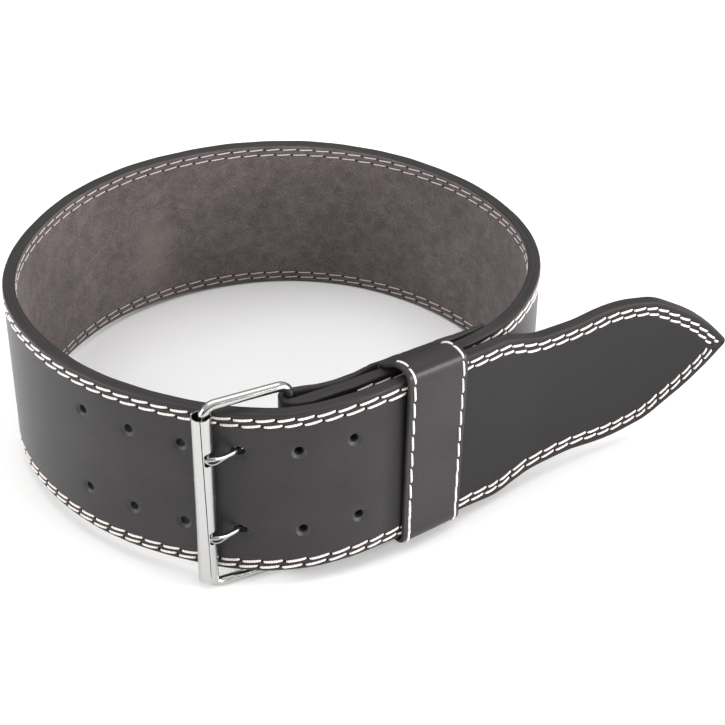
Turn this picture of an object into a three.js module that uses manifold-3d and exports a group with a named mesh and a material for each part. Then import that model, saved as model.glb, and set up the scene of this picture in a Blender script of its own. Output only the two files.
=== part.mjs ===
// Weightlifting belt of thick leather, fastened with a two-prong roller
// buckle and standing on its lower edge.  Millimetres, +Z up.
//
// One strap of leather runs from the pointed tail, through the buckle, round
// the waist and back to the buckle, where its thinned end is folded round the
// heel bar of the wire frame and lies flat inside the belt.  A keeper loop
// holds the tail.  Stations along the strap are counted from the buckle:
// negative towards the tip of the tail, positive round the waist.

import * as THREE from 'three';
import { mergeVertices } from 'three/addons/utils/BufferGeometryUtils.js';
import Module from 'manifold-3d';

// ---------------------------------------------------------------- sizes
const BELT_WIDTH = 100;          // upper edge to lower edge
const BELT_THICK = 7;            // full leather
const EDGE_ROUND = 1.6;          // worn corner of the cut edges
const MID = BELT_WIDTH / 2;

const START = { x: -40.86, y: -130.3, heading: 178.534 };  // strap centre at station 0
const STEP = 1;                  // integration step along the strap

const TIP_AT = -300;             // tip of the tail
const FOLD_FROM = 860;           // last full section before the fold

// bending of the strap, degrees of turn in 100 mm, seen from above
const STRAP_BEND = [
  { at: -330, turn: 7.42 }, { at: -290, turn: 10.25 }, { at: -250, turn: 12.31 },
  { at: -210, turn: 12.99 }, { at: -170, turn: 9.32 }, { at: -130, turn: 2.32 },
  { at: -90, turn: -12.09 }, { at: -60, turn: -34.99 }, { at: -30, turn: -55.37 },
  { at: 0, turn: -59.35 }, { at: 40, turn: -28.53 }, { at: 80, turn: -38.97 },
  { at: 140, turn: -34.48 }, { at: 200, turn: -51.31 }, { at: 260, turn: -31.90 },
  { at: 320, turn: -41.73 }, { at: 380, turn: -35.88 }, { at: 440, turn: -41.53 },
  { at: 500, turn: -41.53 }, { at: 560, turn: -35.63 }, { at: 600, turn: -39.11 },
  { at: 640, turn: -44.29 }, { at: 670, turn: -53.62 }, { at: 700, turn: -49.37 },
  { at: 730, turn: -44.98 }, { at: 760, turn: -56.61 }, { at: 790, turn: -22.31 },
  { at: 820, turn: 0.88 }, { at: 850, turn: -3.73 }, { at: 880, turn: -1.96 },
  { at: 910, turn: -1.57 },
];

// how far the middle of the tail rises or falls from the middle of the belt
const TAIL_RISE = [
  { at: -330, rise: 0.31 }, { at: -250, rise: 0.54 }, { at: -180, rise: -0.62 },
  { at: -120, rise: 1.27 }, { at: -60, rise: 2.60 }, { at: -20, rise: 0.28 },
  { at: 0, rise: 0 }, { at: 40, rise: 0 }, { at: 80, rise: 0 },
];

// half the tail's width, by distance from its tip
const TAIL_SHAPE = [
  { from_tip: 0, half: 1.3 }, { from_tip: 4, half: 5.65 }, { from_tip: 10, half: 11.82 },
  { from_tip: 20, half: 20.4 }, { from_tip: 35, half: 30.44 }, { from_tip: 55, half: 40.4 },
  { from_tip: 80, half: 43.67 }, { from_tip: 105, half: 42.14 }, { from_tip: 130, half: 43.17 },
  { from_tip: 160, half: 50 }, { from_tip: 200, half: 50 },
];

// punched holes, two rows
const HOLE_AT = [99.4, 69.8, 40.4, 9.9, -19.7, -48.7];
const PRONG_HOLE = 3;            // index of the pair that the prongs use
const HOLE_ROWS = [76.1, 26.3];
const HOLE_D = 5.2, HOLE_RIM_D = 7.0, HOLE_RIM_DEEP = 1.0;
const PRONG_HOLE_D = 7.4, PRONG_RIM_D = 8.8;

// buckle
const ROLLER = { x: -68.93, y: -136.96, low: -1.7, high: 101.3, r: 5.2, wall: 0.7, seamDeg: -80, seamGap: 0.5 };
const NOTCH_H = 7.6;             // roller notch that a prong's tip lies in
const FRAME_DEG = 26.49;         // direction from the roller to the heel bar
const WIRE_D = 5.2;
const WIRE_SHIFT = 0.9;          // the wire lies off the roller's middle, towards the heel bar
const FRAME_LONG = 46.3;         // wire centre to wire centre
const FRAME_HIGH = 106.2, FRAME_LOW = -6.2;
const FRAME_CORNER = 6.5;
const PRONG_D = 3.0;
const GAP = 0.35;                // space between pieces that meet

// the folded end, seen from above, from the middle of the heel bar:
// t runs along the belt away from the fold, q runs outwards
const FOLD_DEG = 31;             // direction of t
const FOLD = [
  { outT: 15.0, outQ: 10.90, inT: 15.0, inQ: 3.90 },
  { outT: 10.0, outQ: 12.00, inT: 9.5, inQ: 5.10 },
  { outT: 5.6, outQ: 11.60, inT: 4.6, inQ: 4.80 },
  { outT: 1.8, outQ: 10.40, inT: 0.8, inQ: 4.10 },
  { outT: -1.6, outQ: 8.90, inT: -1.0, inQ: 3.40 },
  { outT: -4.4, outQ: 6.30, inT: -2.2, inQ: 2.30 },
  { outT: -5.5, outQ: 3.00, inT: -2.85, inQ: 1.10 },
  { outT: -5.75, outQ: -0.20, inT: -2.95, inQ: 0 },
  { outT: -5.2, outQ: -2.60, inT: -2.67, inQ: -1.25 },
  { outT: -3.6, outQ: -4.65, inT: -1.69, inQ: -2.42 },
  { outT: -0.8, outQ: -5.65, inT: -0.2, inQ: -2.95 },
  { outT: 4.2, outQ: -5.20, inT: 3.8, inQ: -2.40 },
  { outT: 10.2, outQ: -3.65, inT: 9.8, inQ: -0.75 },
  { outT: 17.0, outQ: -1.60, inT: 16.6, inQ: 1.40 },
  { outT: 23.0, outQ: -0.75, inT: 22.8, inQ: 2.25 },
];
// the end of the strap inside the belt: distances from the belt's middle
// surface to the flap's near and far face
const FLAP = [
  { at: 851, near: 3.85, far: 6.95 }, { at: 842, near: 4.50, far: 7.50 },
  { at: 834, near: 6.00, far: 8.70 }, { at: 829.5, near: 6.60, far: 9.15 },
  { at: 818, near: 6.65, far: 9.45 }, { at: 804, near: 6.65, far: 9.70 },
  { at: 790, near: 6.65, far: 9.90 }, { at: 782, near: 6.30, far: 9.60 },
  { at: 774, near: 5.40, far: 8.60 }, { at: 766, near: 4.40, far: 7.10 },
  { at: 758.5, near: 3.85, far: 5.90 },
];
const SLOT = { tFrom: -9, tTo: 6.9, q: 12, high: 5.4 };    // slots in the fold for the prong eyes

// keeper
const KEEPER_THICK = 2.4;
const KEEPER = [                 // across its width: places on tail and belt, upper and lower edge of the tail
  { tail: -75.1, belt: 829.0, top: 102.85, bottom: 1.7 },
  { tail: -84.6, belt: 819.5, top: 102.7, bottom: 1.5 },
  { tail: -94.1, belt: 810.0, top: 102.4, bottom: 1.3 },
  { tail: -103.6, belt: 800.5, top: 102.0, bottom: 1.1 },
  { tail: -113.1, belt: 791.0, top: 101.55, bottom: 0.9 },
];
// outer line of the loop, up the front, over the top and down the back: depth
// behind the tail's outer face or the belt's inner face, height above the
// belt's lower edge or above the upper or lower edge of the tail
const KEEPER_LINE = [
  ['tail', -2.75, 'belt', 16], ['tail', -2.95, 'belt', 34], ['tail', -3.35, 'belt', 58],
  ['tail', -3.75, 'belt', 78], ['tail', -3.95, 'belt', 92], ['tail', -3.95, 'top', -3.5],
  ['tail', -3.75, 'top', 0.6], ['tail', -2.95, 'top', 3.3], ['tail', -1.3, 'top', 5.3],
  ['tail', 1.4, 'top', 6.5], ['tail', 5.0, 'top', 6.8], ['tail', 8.8, 'top', 6.2],
  ['tail', 12.4, 'top', 4.6], ['belt', -3.4, 'belt', 104.0], ['belt', -0.2, 'belt', 103.1],
  ['belt', 1.7, 'belt', 101.7], ['belt', 2.65, 'belt', 99.0], ['belt', 2.75, 'belt', 94],
  ['belt', 2.75, 'belt', 70], ['belt', 2.75, 'belt', 40], ['belt', 2.75, 'belt', 8],
  ['belt', 2.5, 'belt', 1.0], ['belt', 1.2, 'belt', -2.0], ['belt', -1.6, 'belt', -3.2],
  ['belt', -6.5, 'belt', -3.4], ['tail', 7.5, 'bottom', -4.3], ['tail', 3.6, 'bottom', -4.1],
  ['tail', 0.6, 'bottom', -3.2], ['tail', -1.9, 'bottom', -0.8], ['tail', -2.75, 'bottom', 2.6],
  ['tail', -2.7, 'bottom', 8],
];

// standing: the belt leans on the buckle's lower wire and its own far edge
const REST = { tiltDeg: 1.8587, aboutDeg: 159.407, x: -15.515, y: -12.759, z: 4.816 };

// ------------------------------------------------------------- small maths
const rad = THREE.MathUtils.degToRad;

// natural cubic through the rows of a table
function naturalCubic(rows, xKey, yKey) {
  const n = rows.length, x = rows.map((r) => r[xKey]), y = rows.map((r) => r[yKey]);
  const a = new Array(n).fill(0), b = new Array(n).fill(1), c = new Array(n).fill(0), d = new Array(n).fill(0);
  for (let i = 1; i < n - 1; i++) {
    const h0 = x[i] - x[i - 1], h1 = x[i + 1] - x[i];
    a[i] = h0; b[i] = 2 * (h0 + h1); c[i] = h1;
    d[i] = 6 * ((y[i + 1] - y[i]) / h1 - (y[i] - y[i - 1]) / h0);
  }
  for (let i = 1; i < n; i++) {
    const w = a[i] / b[i - 1];
    b[i] -= w * c[i - 1]; d[i] -= w * d[i - 1];
  }
  const m = new Array(n).fill(0);
  for (let i = n - 1; i >= 0; i--) m[i] = (d[i] - (i < n - 1 ? c[i] * m[i + 1] : 0)) / b[i];
  return (v) => {
    v = Math.min(Math.max(v, x[0]), x[n - 1]);
    let i = 0;
    while (i < n - 2 && v > x[i + 1]) i++;
    const h = x[i + 1] - x[i], p = (x[i + 1] - v) / h, q = (v - x[i]) / h;
    return p * y[i] + q * y[i + 1] + ((p ** 3 - p) * m[i] + (q ** 3 - q) * m[i + 1]) * h * h / 6;
  };
}

// smooth curve that never overshoots its rows
function monotone(rows, xKey, yKey) {
  const x = rows.map((r) => r[xKey]), y = rows.map((r) => r[yKey]), n = x.length;
  const h = [], s = [], g = new Array(n).fill(0);
  for (let i = 0; i < n - 1; i++) { h.push(x[i + 1] - x[i]); s.push((y[i + 1] - y[i]) / h[i]); }
  for (let i = 1; i < n - 1; i++) {
    if (s[i - 1] * s[i] > 0) {
      const w1 = 2 * h[i] + h[i - 1], w2 = h[i] + 2 * h[i - 1];
      g[i] = (w1 + w2) / (w1 / s[i - 1] + w2 / s[i]);
    }
  }
  const end = (h0, h1, s0, s1) => {
    let v = ((2 * h0 + h1) * s0 - h0 * s1) / (h0 + h1);
    if (v * s0 <= 0) v = 0;
    else if (s0 * s1 <= 0 && Math.abs(v) > 3 * Math.abs(s0)) v = 3 * s0;
    return v;
  };
  g[0] = end(h[0], h[1], s[0], s[1]);
  g[n - 1] = end(h[n - 2], h[n - 3], s[n - 2], s[n - 3]);
  return (v) => {
    v = Math.min(Math.max(v, x[0]), x[n - 1]);
    let i = 0;
    while (i < n - 2 && v > x[i + 1]) i++;
    const t = (v - x[i]) / h[i], t2 = t * t, t3 = t2 * t;
    return (2 * t3 - 3 * t2 + 1) * y[i] + (t3 - 2 * t2 + t) * h[i] * g[i]
      + (-2 * t3 + 3 * t2) * y[i + 1] + (t3 - t2) * h[i] * g[i + 1];
  };
}

// ------------------------------------------------- the strap's middle line
const bend = naturalCubic(STRAP_BEND, 'at', 'turn');
const rise = naturalCubic(TAIL_RISE, 'at', 'rise');
const halfWidth = monotone(TAIL_SHAPE, 'from_tip', 'half');

const S_MIN = -330, S_MAX = 900;
function walk(to) {
  const dir = Math.sign(to), out = [{ s: 0, x: START.x, y: START.y, a: rad(START.heading) }];
  let p = out[0];
  for (let s = 0; Math.abs(s) < Math.abs(to) - 1e-9; s += dir * STEP) {
    const k = rad((bend(s) + bend(s + dir * STEP)) / 2) / 100;
    const a = p.a + dir * STEP * k, am = p.a + dir * STEP * k / 2;
    p = { s: s + dir * STEP, x: p.x + Math.cos(am) * dir * STEP, y: p.y + Math.sin(am) * dir * STEP, a };
    out.push(p);
  }
  return out;
}
const LINE = [...walk(S_MIN).reverse(), ...walk(S_MAX).slice(1)];
function station(s) {
  const f = Math.min(Math.max((s - S_MIN) / STEP, 0), LINE.length - 1.001);
  const i = Math.floor(f), u = f - i, p = LINE[i], q = LINE[i + 1];
  const a = p.a + (q.a - p.a) * u;
  return { x: p.x + (q.x - p.x) * u, y: p.y + (q.y - p.y) * u, a, nx: -Math.sin(a), ny: Math.cos(a) };
}
// a point of the strap: place along it, height across it, distance outwards
function strapPoint(s, w, off) {
  let zc = MID, lean = 0;
  if (w < 0) w *= 1 + 0.03 * Math.min(Math.max((-112 - s) / 38, 0), 1);   // the tail is a little wider below its middle
  if (s < 40) {
    zc += rise(s);
    lean = Math.atan((rise(s + 0.5) - rise(s - 0.5)));
  }
  const p = station(s - w * Math.sin(lean));
  return [p.x + p.nx * off, p.y + p.ny * off, zc + w * Math.cos(lean)];
}
const heel = {
  x: ROLLER.x + (WIRE_SHIFT + FRAME_LONG) * Math.cos(rad(FRAME_DEG)),
  y: ROLLER.y + (WIRE_SHIFT + FRAME_LONG) * Math.sin(rad(FRAME_DEG)),
};
const foldT = { x: Math.cos(rad(FOLD_DEG)), y: Math.sin(rad(FOLD_DEG)) };
const foldQ = { x: foldT.y, y: -foldT.x };
const atFold = (t, q) => [heel.x + t * foldT.x + q * foldQ.x, heel.y + t * foldT.y + q * foldQ.y];

// --------------------------------------------------------------- solids
const wasm = await Module();
wasm.setup();

// closed mesh from rings of equal length; open chains get end faces
function loft(rings, closed = false) {
  const m = rings[0].length, pos = rings.flat(2), idx = [];
  const last = closed ? rings.length : rings.length - 1;
  for (let i = 0; i < last; i++) {
    const a = i * m, b = ((i + 1) % rings.length) * m;
    for (let j = 0; j < m; j++) {
      const k = (j + 1) % m;
      idx.push(a + j, b + j, b + k, a + j, b + k, a + k);
    }
  }
  if (!closed) {
    const e = (rings.length - 1) * m;
    for (let j = 1; j < m - 1; j++) idx.push(0, j, j + 1, e, e + j + 1, e + j);
  }
  return outward(pos, idx);
}
function outward(pos, idx) {
  let v = 0;
  for (let i = 0; i < idx.length; i += 3) {
    const [a, b, c] = [0, 1, 2].map((k) => new THREE.Vector3().fromArray(pos, idx[i + k] * 3));
    v += a.dot(b.cross(c));
  }
  if (v < 0) for (let i = 0; i < idx.length; i += 3) [idx[i + 1], idx[i + 2]] = [idx[i + 2], idx[i + 1]];
  const g = new THREE.BufferGeometry();
  g.setAttribute('position', new THREE.Float32BufferAttribute(pos, 3));
  g.setIndex(idx);
  return g;
}
function solid(geometry) {
  let g = geometry.clone();
  g.deleteAttribute('normal');
  g.deleteAttribute('uv');
  g = mergeVertices(g, 1e-4);
  return new wasm.Manifold(new wasm.Mesh({
    numProp: 3,
    vertProperties: new Float32Array(g.attributes.position.array),
    triVerts: new Uint32Array(g.index.array),
  }));
}
function toGeometry(body) {
  const m = body.getMesh(), g = new THREE.BufferGeometry(), pos = [];
  for (let i = 0; i < m.numVert; i++) pos.push(...m.vertProperties.slice(i * m.numProp, i * m.numProp + 3));
  g.setAttribute('position', new THREE.Float32BufferAttribute(pos, 3));
  g.setIndex([...m.triVerts]);
  g.computeVertexNormals();
  return g;
}
// round bar along a polyline
function bar(points, radius, sides, closed = false) {
  const n = points.length, rings = [];
  const at = (i) => points[closed ? (i + n) % n : Math.min(Math.max(i, 0), n - 1)];
  let side = null;
  for (let i = 0; i < n; i++) {
    const tan = at(i + 1).clone().sub(at(i - 1)).normalize();
    if (!side) side = new THREE.Vector3(0, 0, 1).cross(tan).length() > 0.1
      ? new THREE.Vector3(0, 0, 1).cross(tan).normalize() : new THREE.Vector3(1, 0, 0);
    side.sub(tan.clone().multiplyScalar(side.dot(tan))).normalize();
    const up = tan.clone().cross(side), ring = [];
    for (let j = 0; j < sides; j++) {
      const a = (j + 0.5) / sides * Math.PI * 2;
      ring.push(points[i].clone()
        .addScaledVector(side, Math.cos(a) * radius)
        .addScaledVector(up, Math.sin(a) * radius).toArray());
    }
    rings.push(ring);
  }
  return loft(rings, closed);
}

// ---------------------------------------------------------------- strap
// eight-sided section between an outer and an inner corner
function section(outer, inner, low, high, round) {
  const mix = (z, f) => outer.map((v, i) => v + (inner[i] - v) * f).concat(z);
  const f = round / Math.hypot(outer[0] - inner[0], outer[1] - inner[1]);
  return [mix(low + round, 0), mix(high - round, 0), mix(high, f), mix(high, 1 - f),
    mix(high - round, 1), mix(low + round, 1), mix(low, 1 - f), mix(low, f)];
}
function strapSection(s, half) {
  const h = BELT_THICK / 2, r = Math.min(EDGE_ROUND, half * 0.6);
  return [[-half + r, h], [half - r, h], [half, h - r], [half, -h + r],
    [half - r, -h], [-half + r, -h], [-half, -h + r], [-half, h - r]].map(([w, off]) => strapPoint(s, w, off));
}
function strapRings() {
  const rings = [];
  const tail = [0, 1.5, 4, 7, 10, 15, 20, 27, 35, 45, 55, 67, 80, 92, 105, 118, 130, 140, 150, 160];
  for (const u of tail) rings.push(strapSection(TIP_AT + u, halfWidth(u)));
  for (let s = TIP_AT + 171; s < FOLD_FROM - 5; s += s < 110 ? 9 : 10.4) rings.push(strapSection(s, MID));
  rings.push(strapSection(FOLD_FROM, MID));
  for (const r of FOLD) {
    const thick = Math.hypot(r.outT - r.inT, r.outQ - r.inQ);
    rings.push(section(atFold(r.outT, r.outQ), atFold(r.inT, r.inQ), 0, BELT_WIDTH, Math.min(EDGE_ROUND, thick * 0.3)));
  }
  for (const r of FLAP) {
    const near = strapPoint(r.at, 0, -r.near), far = strapPoint(r.at, 0, -r.far);
    rings.push(section(far.slice(0, 2), near.slice(0, 2), 0, BELT_WIDTH, 0.7));
  }
  return rings;
}
function holeCutter(s, z, d, rim) {
  const mid = strapPoint(s, z - MID, 0), c = station(s);
  const tilt = new THREE.Matrix4().makeRotationZ(c.a);              // cylinder axis to the strap's outward side
  const place = (g, off) => {
    g.applyMatrix4(tilt);
    g.translate(mid[0] + c.nx * off, mid[1] + c.ny * off, mid[2]);
    return solid(g);
  };
  const drill = place(new THREE.CylinderGeometry(d / 2, d / 2, BELT_THICK + 6, 14), 0);
  const flare = HOLE_RIM_DEEP * 2, grow = (rim - d) / 2 / HOLE_RIM_DEEP;
  const rimCone = place(new THREE.CylinderGeometry(d / 2 + grow * flare, d / 2, flare, 14),
    BELT_THICK / 2 - HOLE_RIM_DEEP + flare / 2);
  return drill.add(rimCone);
}
let strapBody = solid(loft(strapRings()));
for (const z of HOLE_ROWS) {
  HOLE_AT.forEach((s, i) => {
    const used = i === PRONG_HOLE;
    strapBody = strapBody.subtract(holeCutter(s, z, used ? PRONG_HOLE_D : HOLE_D, used ? PRONG_RIM_D : HOLE_RIM_D));
  });
  const slot = new THREE.BoxGeometry(SLOT.tTo - SLOT.tFrom, SLOT.q * 2, SLOT.high);
  slot.translate((SLOT.tTo + SLOT.tFrom) / 2, 0, 0);
  slot.rotateZ(rad(FOLD_DEG));
  slot.translate(heel.x, heel.y, z + 0.2);
  strapBody = strapBody.subtract(solid(slot));
}

// --------------------------------------------------------------- keeper
function keeperRing(row, grow) {
  const front = strapPoint(row.tail, 0, BELT_THICK / 2), back = strapPoint(row.belt, 0, -BELT_THICK / 2);
  const depth = Math.hypot(back[0] - front[0], back[1] - front[1]);
  const base = { belt: 0, top: row.top, bottom: row.bottom };
  const line = KEEPER_LINE.map(([face, d, edge, z]) => new THREE.Vector2((face === 'belt' ? depth : 0) + d, base[edge] + z));
  const n = line.length;
  return line.map((p, i) => {
    const tan = line[(i + 1) % n].clone().sub(line[(i + n - 1) % n]).normalize();
    const d = p.x + tan.y * (KEEPER_THICK - grow), z = p.y - tan.x * (KEEPER_THICK - grow);
    return [front[0] + (back[0] - front[0]) * d / depth, front[1] + (back[1] - front[1]) * d / depth, z];
  });
}
function keeperGeometry() {
  const outer = KEEPER.map((r) => keeperRing(r, KEEPER_THICK)), inner = KEEPER.map((r) => keeperRing(r, 0));
  // across the outside, then back across the inside: a closed band
  return loft([...outer, ...inner.reverse()], true);
}

// --------------------------------------------------------------- buckle
function frameGeometry() {
  const d = { x: Math.cos(rad(FRAME_DEG)), y: Math.sin(rad(FRAME_DEG)) };
  const x0 = ROLLER.x + WIRE_SHIFT * d.x, y0 = ROLLER.y + WIRE_SHIFT * d.y, pts = [];
  const add = (l, z) => pts.push(new THREE.Vector3(x0 + d.x * l, y0 + d.y * l, z));
  const arc = (l, z, from) => {
    for (let k = 0; k <= 5; k++) {
      const a = rad(from + k * 18);
      add(l + Math.cos(a) * FRAME_CORNER, z + Math.sin(a) * FRAME_CORNER);
    }
  };
  arc(FRAME_LONG - FRAME_CORNER, FRAME_HIGH - FRAME_CORNER, 0);
  arc(FRAME_CORNER, FRAME_HIGH - FRAME_CORNER, 90);
  arc(FRAME_CORNER, FRAME_LOW + FRAME_CORNER, 180);
  arc(FRAME_LONG - FRAME_CORNER, FRAME_LOW + FRAME_CORNER, 270);
  return bar(pts, WIRE_D / 2, 12, true);
}
function rollerBody() {
  const { r, wall, low, high } = ROLLER;
  const profile = [[r - wall, low], [r, low], [r, high], [r - wall, high], [r - wall, low]]
    .map(([x, y]) => new THREE.Vector2(x, y));
  const tube = new THREE.LatheGeometry(profile, 28);
  tube.rotateX(Math.PI / 2);
  let body = solid(tube);
  if (body.volume() < 0) throw new Error('roller is inside out');
  const seam = new THREE.BoxGeometry(4, ROLLER.seamGap, high - low + 4);
  seam.translate(r, 0, (high + low) / 2);
  seam.rotateZ(rad(ROLLER.seamDeg));
  body = body.subtract(solid(seam));
  for (const z of HOLE_ROWS) {
    // from just beside the seam round to the side that faces the hole
    const cut = new THREE.BoxGeometry(8, 10.7, NOTCH_H);
    cut.translate(5.5, 0, 0);
    cut.rotateZ(rad(-16));
    cut.translate(0, 0, z + 1.2);
    body = body.subtract(solid(cut));
  }
  return body.translate([ROLLER.x, ROLLER.y, 0]);
}
// a prong: eye round the heel bar, through the hole, tip on the roller
function prongGeometry(z) {
  const eye = WIRE_D / 2 + GAP + PRONG_D / 2, pts = [];
  for (let a = -165; a <= 108; a += 13) {
    const [x, y] = atFold(Math.cos(rad(a)) * eye, Math.sin(rad(a)) * eye);
    pts.push(new THREE.Vector3(x, y, z));
  }
  const route = [                // along the tail and outwards from its middle
    { s: -11, out: -8.0 }, { s: -4, out: -7.2 }, { s: 3, out: -6.2 }, { s: 7.2, out: -5.0 },
    { s: 9.2, out: -2.9 }, { s: 10.1, out: 0 }, { s: 11.2, out: 3.3 }, { s: 13.6, out: 6.3 },
    { s: 16.0, out: 9.2 }, { s: 18.4, out: 11.9 }, { s: 20.4, out: 13.2 }, { s: 22.4, out: 13.7 },
    { s: 24.2, out: 14.3 },
  ];
  const curve = new THREE.CatmullRomCurve3([...pts.slice(-2),
    ...route.map((r) => {
      const p = station(r.s);
      return new THREE.Vector3(p.x + p.nx * r.out, p.y + p.ny * r.out, z + Math.max(0, r.out - 4) * 0.09);
    })], false, 'centripetal');
  const path = curve.getSpacedPoints(30).slice(2);
  return bar([...pts, ...path], PRONG_D / 2, 8);
}

// ------------------------------------------------------------- assembly
const leather = { color: 0x2d2b2d, roughness: 0.45, metalness: 0 };
const steel = { color: 0xd3d3d1, roughness: 0.2, metalness: 1 };
function piece(name, geometry, finish) {
  geometry.computeVertexNormals();
  const mesh = new THREE.Mesh(geometry, new THREE.MeshStandardMaterial(finish));
  mesh.name = name;
  return mesh;
}

const belt = new THREE.Group();
belt.add(
  piece('strap', toGeometry(strapBody), leather),
  piece('keeper_loop', keeperGeometry(), leather),
  piece('buckle_frame', frameGeometry(), steel),
  piece('buckle_roller', toGeometry(rollerBody()), steel),
  piece('upper_prong', prongGeometry(HOLE_ROWS[0] + 0.2), steel),
  piece('lower_prong', prongGeometry(HOLE_ROWS[1] + 0.2), steel),
);

const group = new THREE.Group();
const lean = new THREE.Group();
lean.quaternion.setFromAxisAngle(
  new THREE.Vector3(Math.cos(rad(REST.aboutDeg)), Math.sin(rad(REST.aboutDeg)), 0), rad(REST.tiltDeg));
lean.position.set(REST.x, REST.y, REST.z);
lean.add(belt);
group.add(lean);

export default group;
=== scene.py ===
import math

import bpy
import numpy as np
from mathutils import Matrix, Vector


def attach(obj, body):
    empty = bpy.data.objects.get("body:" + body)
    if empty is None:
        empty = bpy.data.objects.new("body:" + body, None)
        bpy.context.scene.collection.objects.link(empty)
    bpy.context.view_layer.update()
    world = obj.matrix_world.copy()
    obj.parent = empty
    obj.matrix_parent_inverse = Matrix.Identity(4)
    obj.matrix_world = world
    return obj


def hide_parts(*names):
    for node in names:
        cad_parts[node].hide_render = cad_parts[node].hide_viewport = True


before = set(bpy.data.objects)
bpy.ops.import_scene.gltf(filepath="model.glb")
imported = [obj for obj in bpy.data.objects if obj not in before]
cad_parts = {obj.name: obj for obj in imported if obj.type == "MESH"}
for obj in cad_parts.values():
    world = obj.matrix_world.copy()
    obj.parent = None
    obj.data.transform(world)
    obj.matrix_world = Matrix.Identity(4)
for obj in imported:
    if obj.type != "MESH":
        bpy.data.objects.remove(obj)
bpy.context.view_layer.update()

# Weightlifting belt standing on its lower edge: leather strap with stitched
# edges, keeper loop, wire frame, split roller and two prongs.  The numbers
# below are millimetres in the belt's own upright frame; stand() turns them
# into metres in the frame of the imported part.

# ------------------------------------------------------------------ sizes
WIDTH, THICK = 100.0, 7.0
MID, H = WIDTH / 2, THICK / 2
START = (-40.86, -130.3, 178.534)
TIP_AT, FOLD_FROM = -300.0, 860.0
TIP_ROUND = 3.35
BEND_AT = [-330, -290, -250, -210, -170, -130, -90, -60, -30, 0, 40, 80, 140, 200, 260, 320, 380, 440, 500,
           560, 600, 640, 670, 700, 730, 760, 790, 820, 850, 880, 910]
BEND_TURN = [7.42, 10.25, 12.31, 12.99, 9.32, 2.32, -12.09, -34.99, -55.37, -59.35, -28.53, -38.97, -34.48,
             -51.31, -31.90, -41.73, -35.88, -41.53, -41.53, -35.63, -39.11, -44.29, -53.62, -49.37, -44.98,
             -56.61, -22.31, 0.88, -3.73, -1.96, -1.57]
RISE_AT = [-330, -250, -180, -120, -60, -20, 0, 40, 80]
RISE = [0.31, 0.54, -0.62, 1.27, 2.60, 0.28, 0, 0, 0]
TAIL_AT = [0, 4, 10, 20, 35, 55, 80, 105, 130, 160, 200]
TAIL_HALF = [1.3, 5.65, 11.82, 20.4, 30.44, 40.4, 43.67, 42.14, 43.17, 50, 50]
HOLE_AT = [99.4, 69.8, 40.4, 9.9, -19.7, -48.7]
PRONG_HOLE = 3
HOLE_ROWS = [76.1, 26.3]
ROLLER = dict(x=-68.93, y=-136.96, low=-1.7, high=101.3, r=5.2, wall=0.62)
SEAM_TOP, SEAM_LOW = -91.0, -69.0          # plan direction of the roller's seam
NOTCH_H = 8.0
FRAME_DEG, WIRE_D, WIRE_SHIFT, FRAME_LONG = 26.49, 5.2, 0.9, 46.3
FRAME_HIGH, FRAME_LOW, FRAME_CORNER = 106.2, -6.2, 6.5
FOLD_DEG = 31
FOLD = np.array([  # outT, outQ, inT, inQ
    (15.0, 9.95, 15.0, 2.95), (10.0, 9.95, 9.5, 2.95), (5.6, 9.75, 4.6, 2.95), (1.8, 9.00, 0.8, 2.95),
    (-1.6, 7.60, -1.0, 2.78), (-4.3, 5.10, -2.09, 2.09), (-5.4, 2.10, -2.77, 1.01), (-5.75, -0.20, -2.95, 0),
    (-5.2, -2.60, -2.67, -1.25), (-3.6, -4.65, -1.69, -2.42), (-0.8, -5.65, -0.2, -2.95),
    (4.2, -5.20, 3.8, -2.40), (10.2, -3.65, 9.8, -0.75), (17.0, -1.60, 16.6, 1.40), (23.0, -0.75, 22.8, 2.25)])
FLAP = np.array([  # at, near, far
    (851, 3.85, 6.95), (842, 4.50, 7.50), (834, 6.00, 8.70), (829.5, 6.60, 9.15), (818, 6.65, 9.45),
    (804, 6.65, 9.70), (790, 6.65, 9.90), (782, 6.30, 9.60), (774, 5.40, 8.60), (766, 4.40, 7.10),
    (758.5, 3.85, 5.90)])
SLOT = dict(t0=-9, t1=6.9, q=12, high=5.4)
KEEPER_THICK, GAP = 2.4, 0.35
KEEPER = np.array([  # tail, belt, top and bottom edge of the tail
    (-75.1, 829.0, 102.85, 1.7), (-84.6, 819.5, 102.7, 1.5), (-94.1, 810.0, 102.4, 1.3),
    (-103.6, 800.5, 102.0, 1.1), (-113.1, 791.0, 101.55, 0.9)])
KEEPER_LOOP = [  # depth, as a base (0 tail's outer face, 1 belt's inner face) and millimetres behind it; height, from
    # a base (0 floor of the belt, 1 the tail's top, -1 the tail's bottom)
    (0, -2.75, 0, 16), (0, -2.95, 0, 34), (0, -3.35, 0, 58), (0, -3.75, 0, 78), (0, -3.95, 0, 92), (0, -3.95, 1, -3.5),
    (0, -3.75, 1, 0.6), (0, -2.95, 1, 3.3), (0, -1.3, 1, 5.3), (0, 1.4, 1, 6.5), (0, 5.0, 1, 6.8), (0, 8.8, 1, 6.2),
    (0, 12.4, 1, 4.6), (1, -3.4, 0, 104.0), (1, -0.2, 0, 103.1), (1, 1.7, 0, 101.7), (1, 2.65, 0, 99.0), (1, 2.75, 0, 94),
    (1, 2.75, 0, 70), (1, 2.75, 0, 40), (1, 2.75, 0, 8), (1, 2.5, 0, 1.0), (1, 1.2, 0, -2.0), (1, -1.6, 0, -3.2),
    (1, -6.5, 0, -3.4), (0, 7.5, -1, -4.3), (0, 3.6, -1, -4.1), (0, 0.6, -1, -3.2), (0, -1.9, -1, -0.8), (0, -2.75, -1, 2.6),
    (0, -2.7, -1, 8)]
REST = dict(tilt=1.8587, about=159.407, x=-15.515, y=-12.759, z=4.816)

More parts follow.
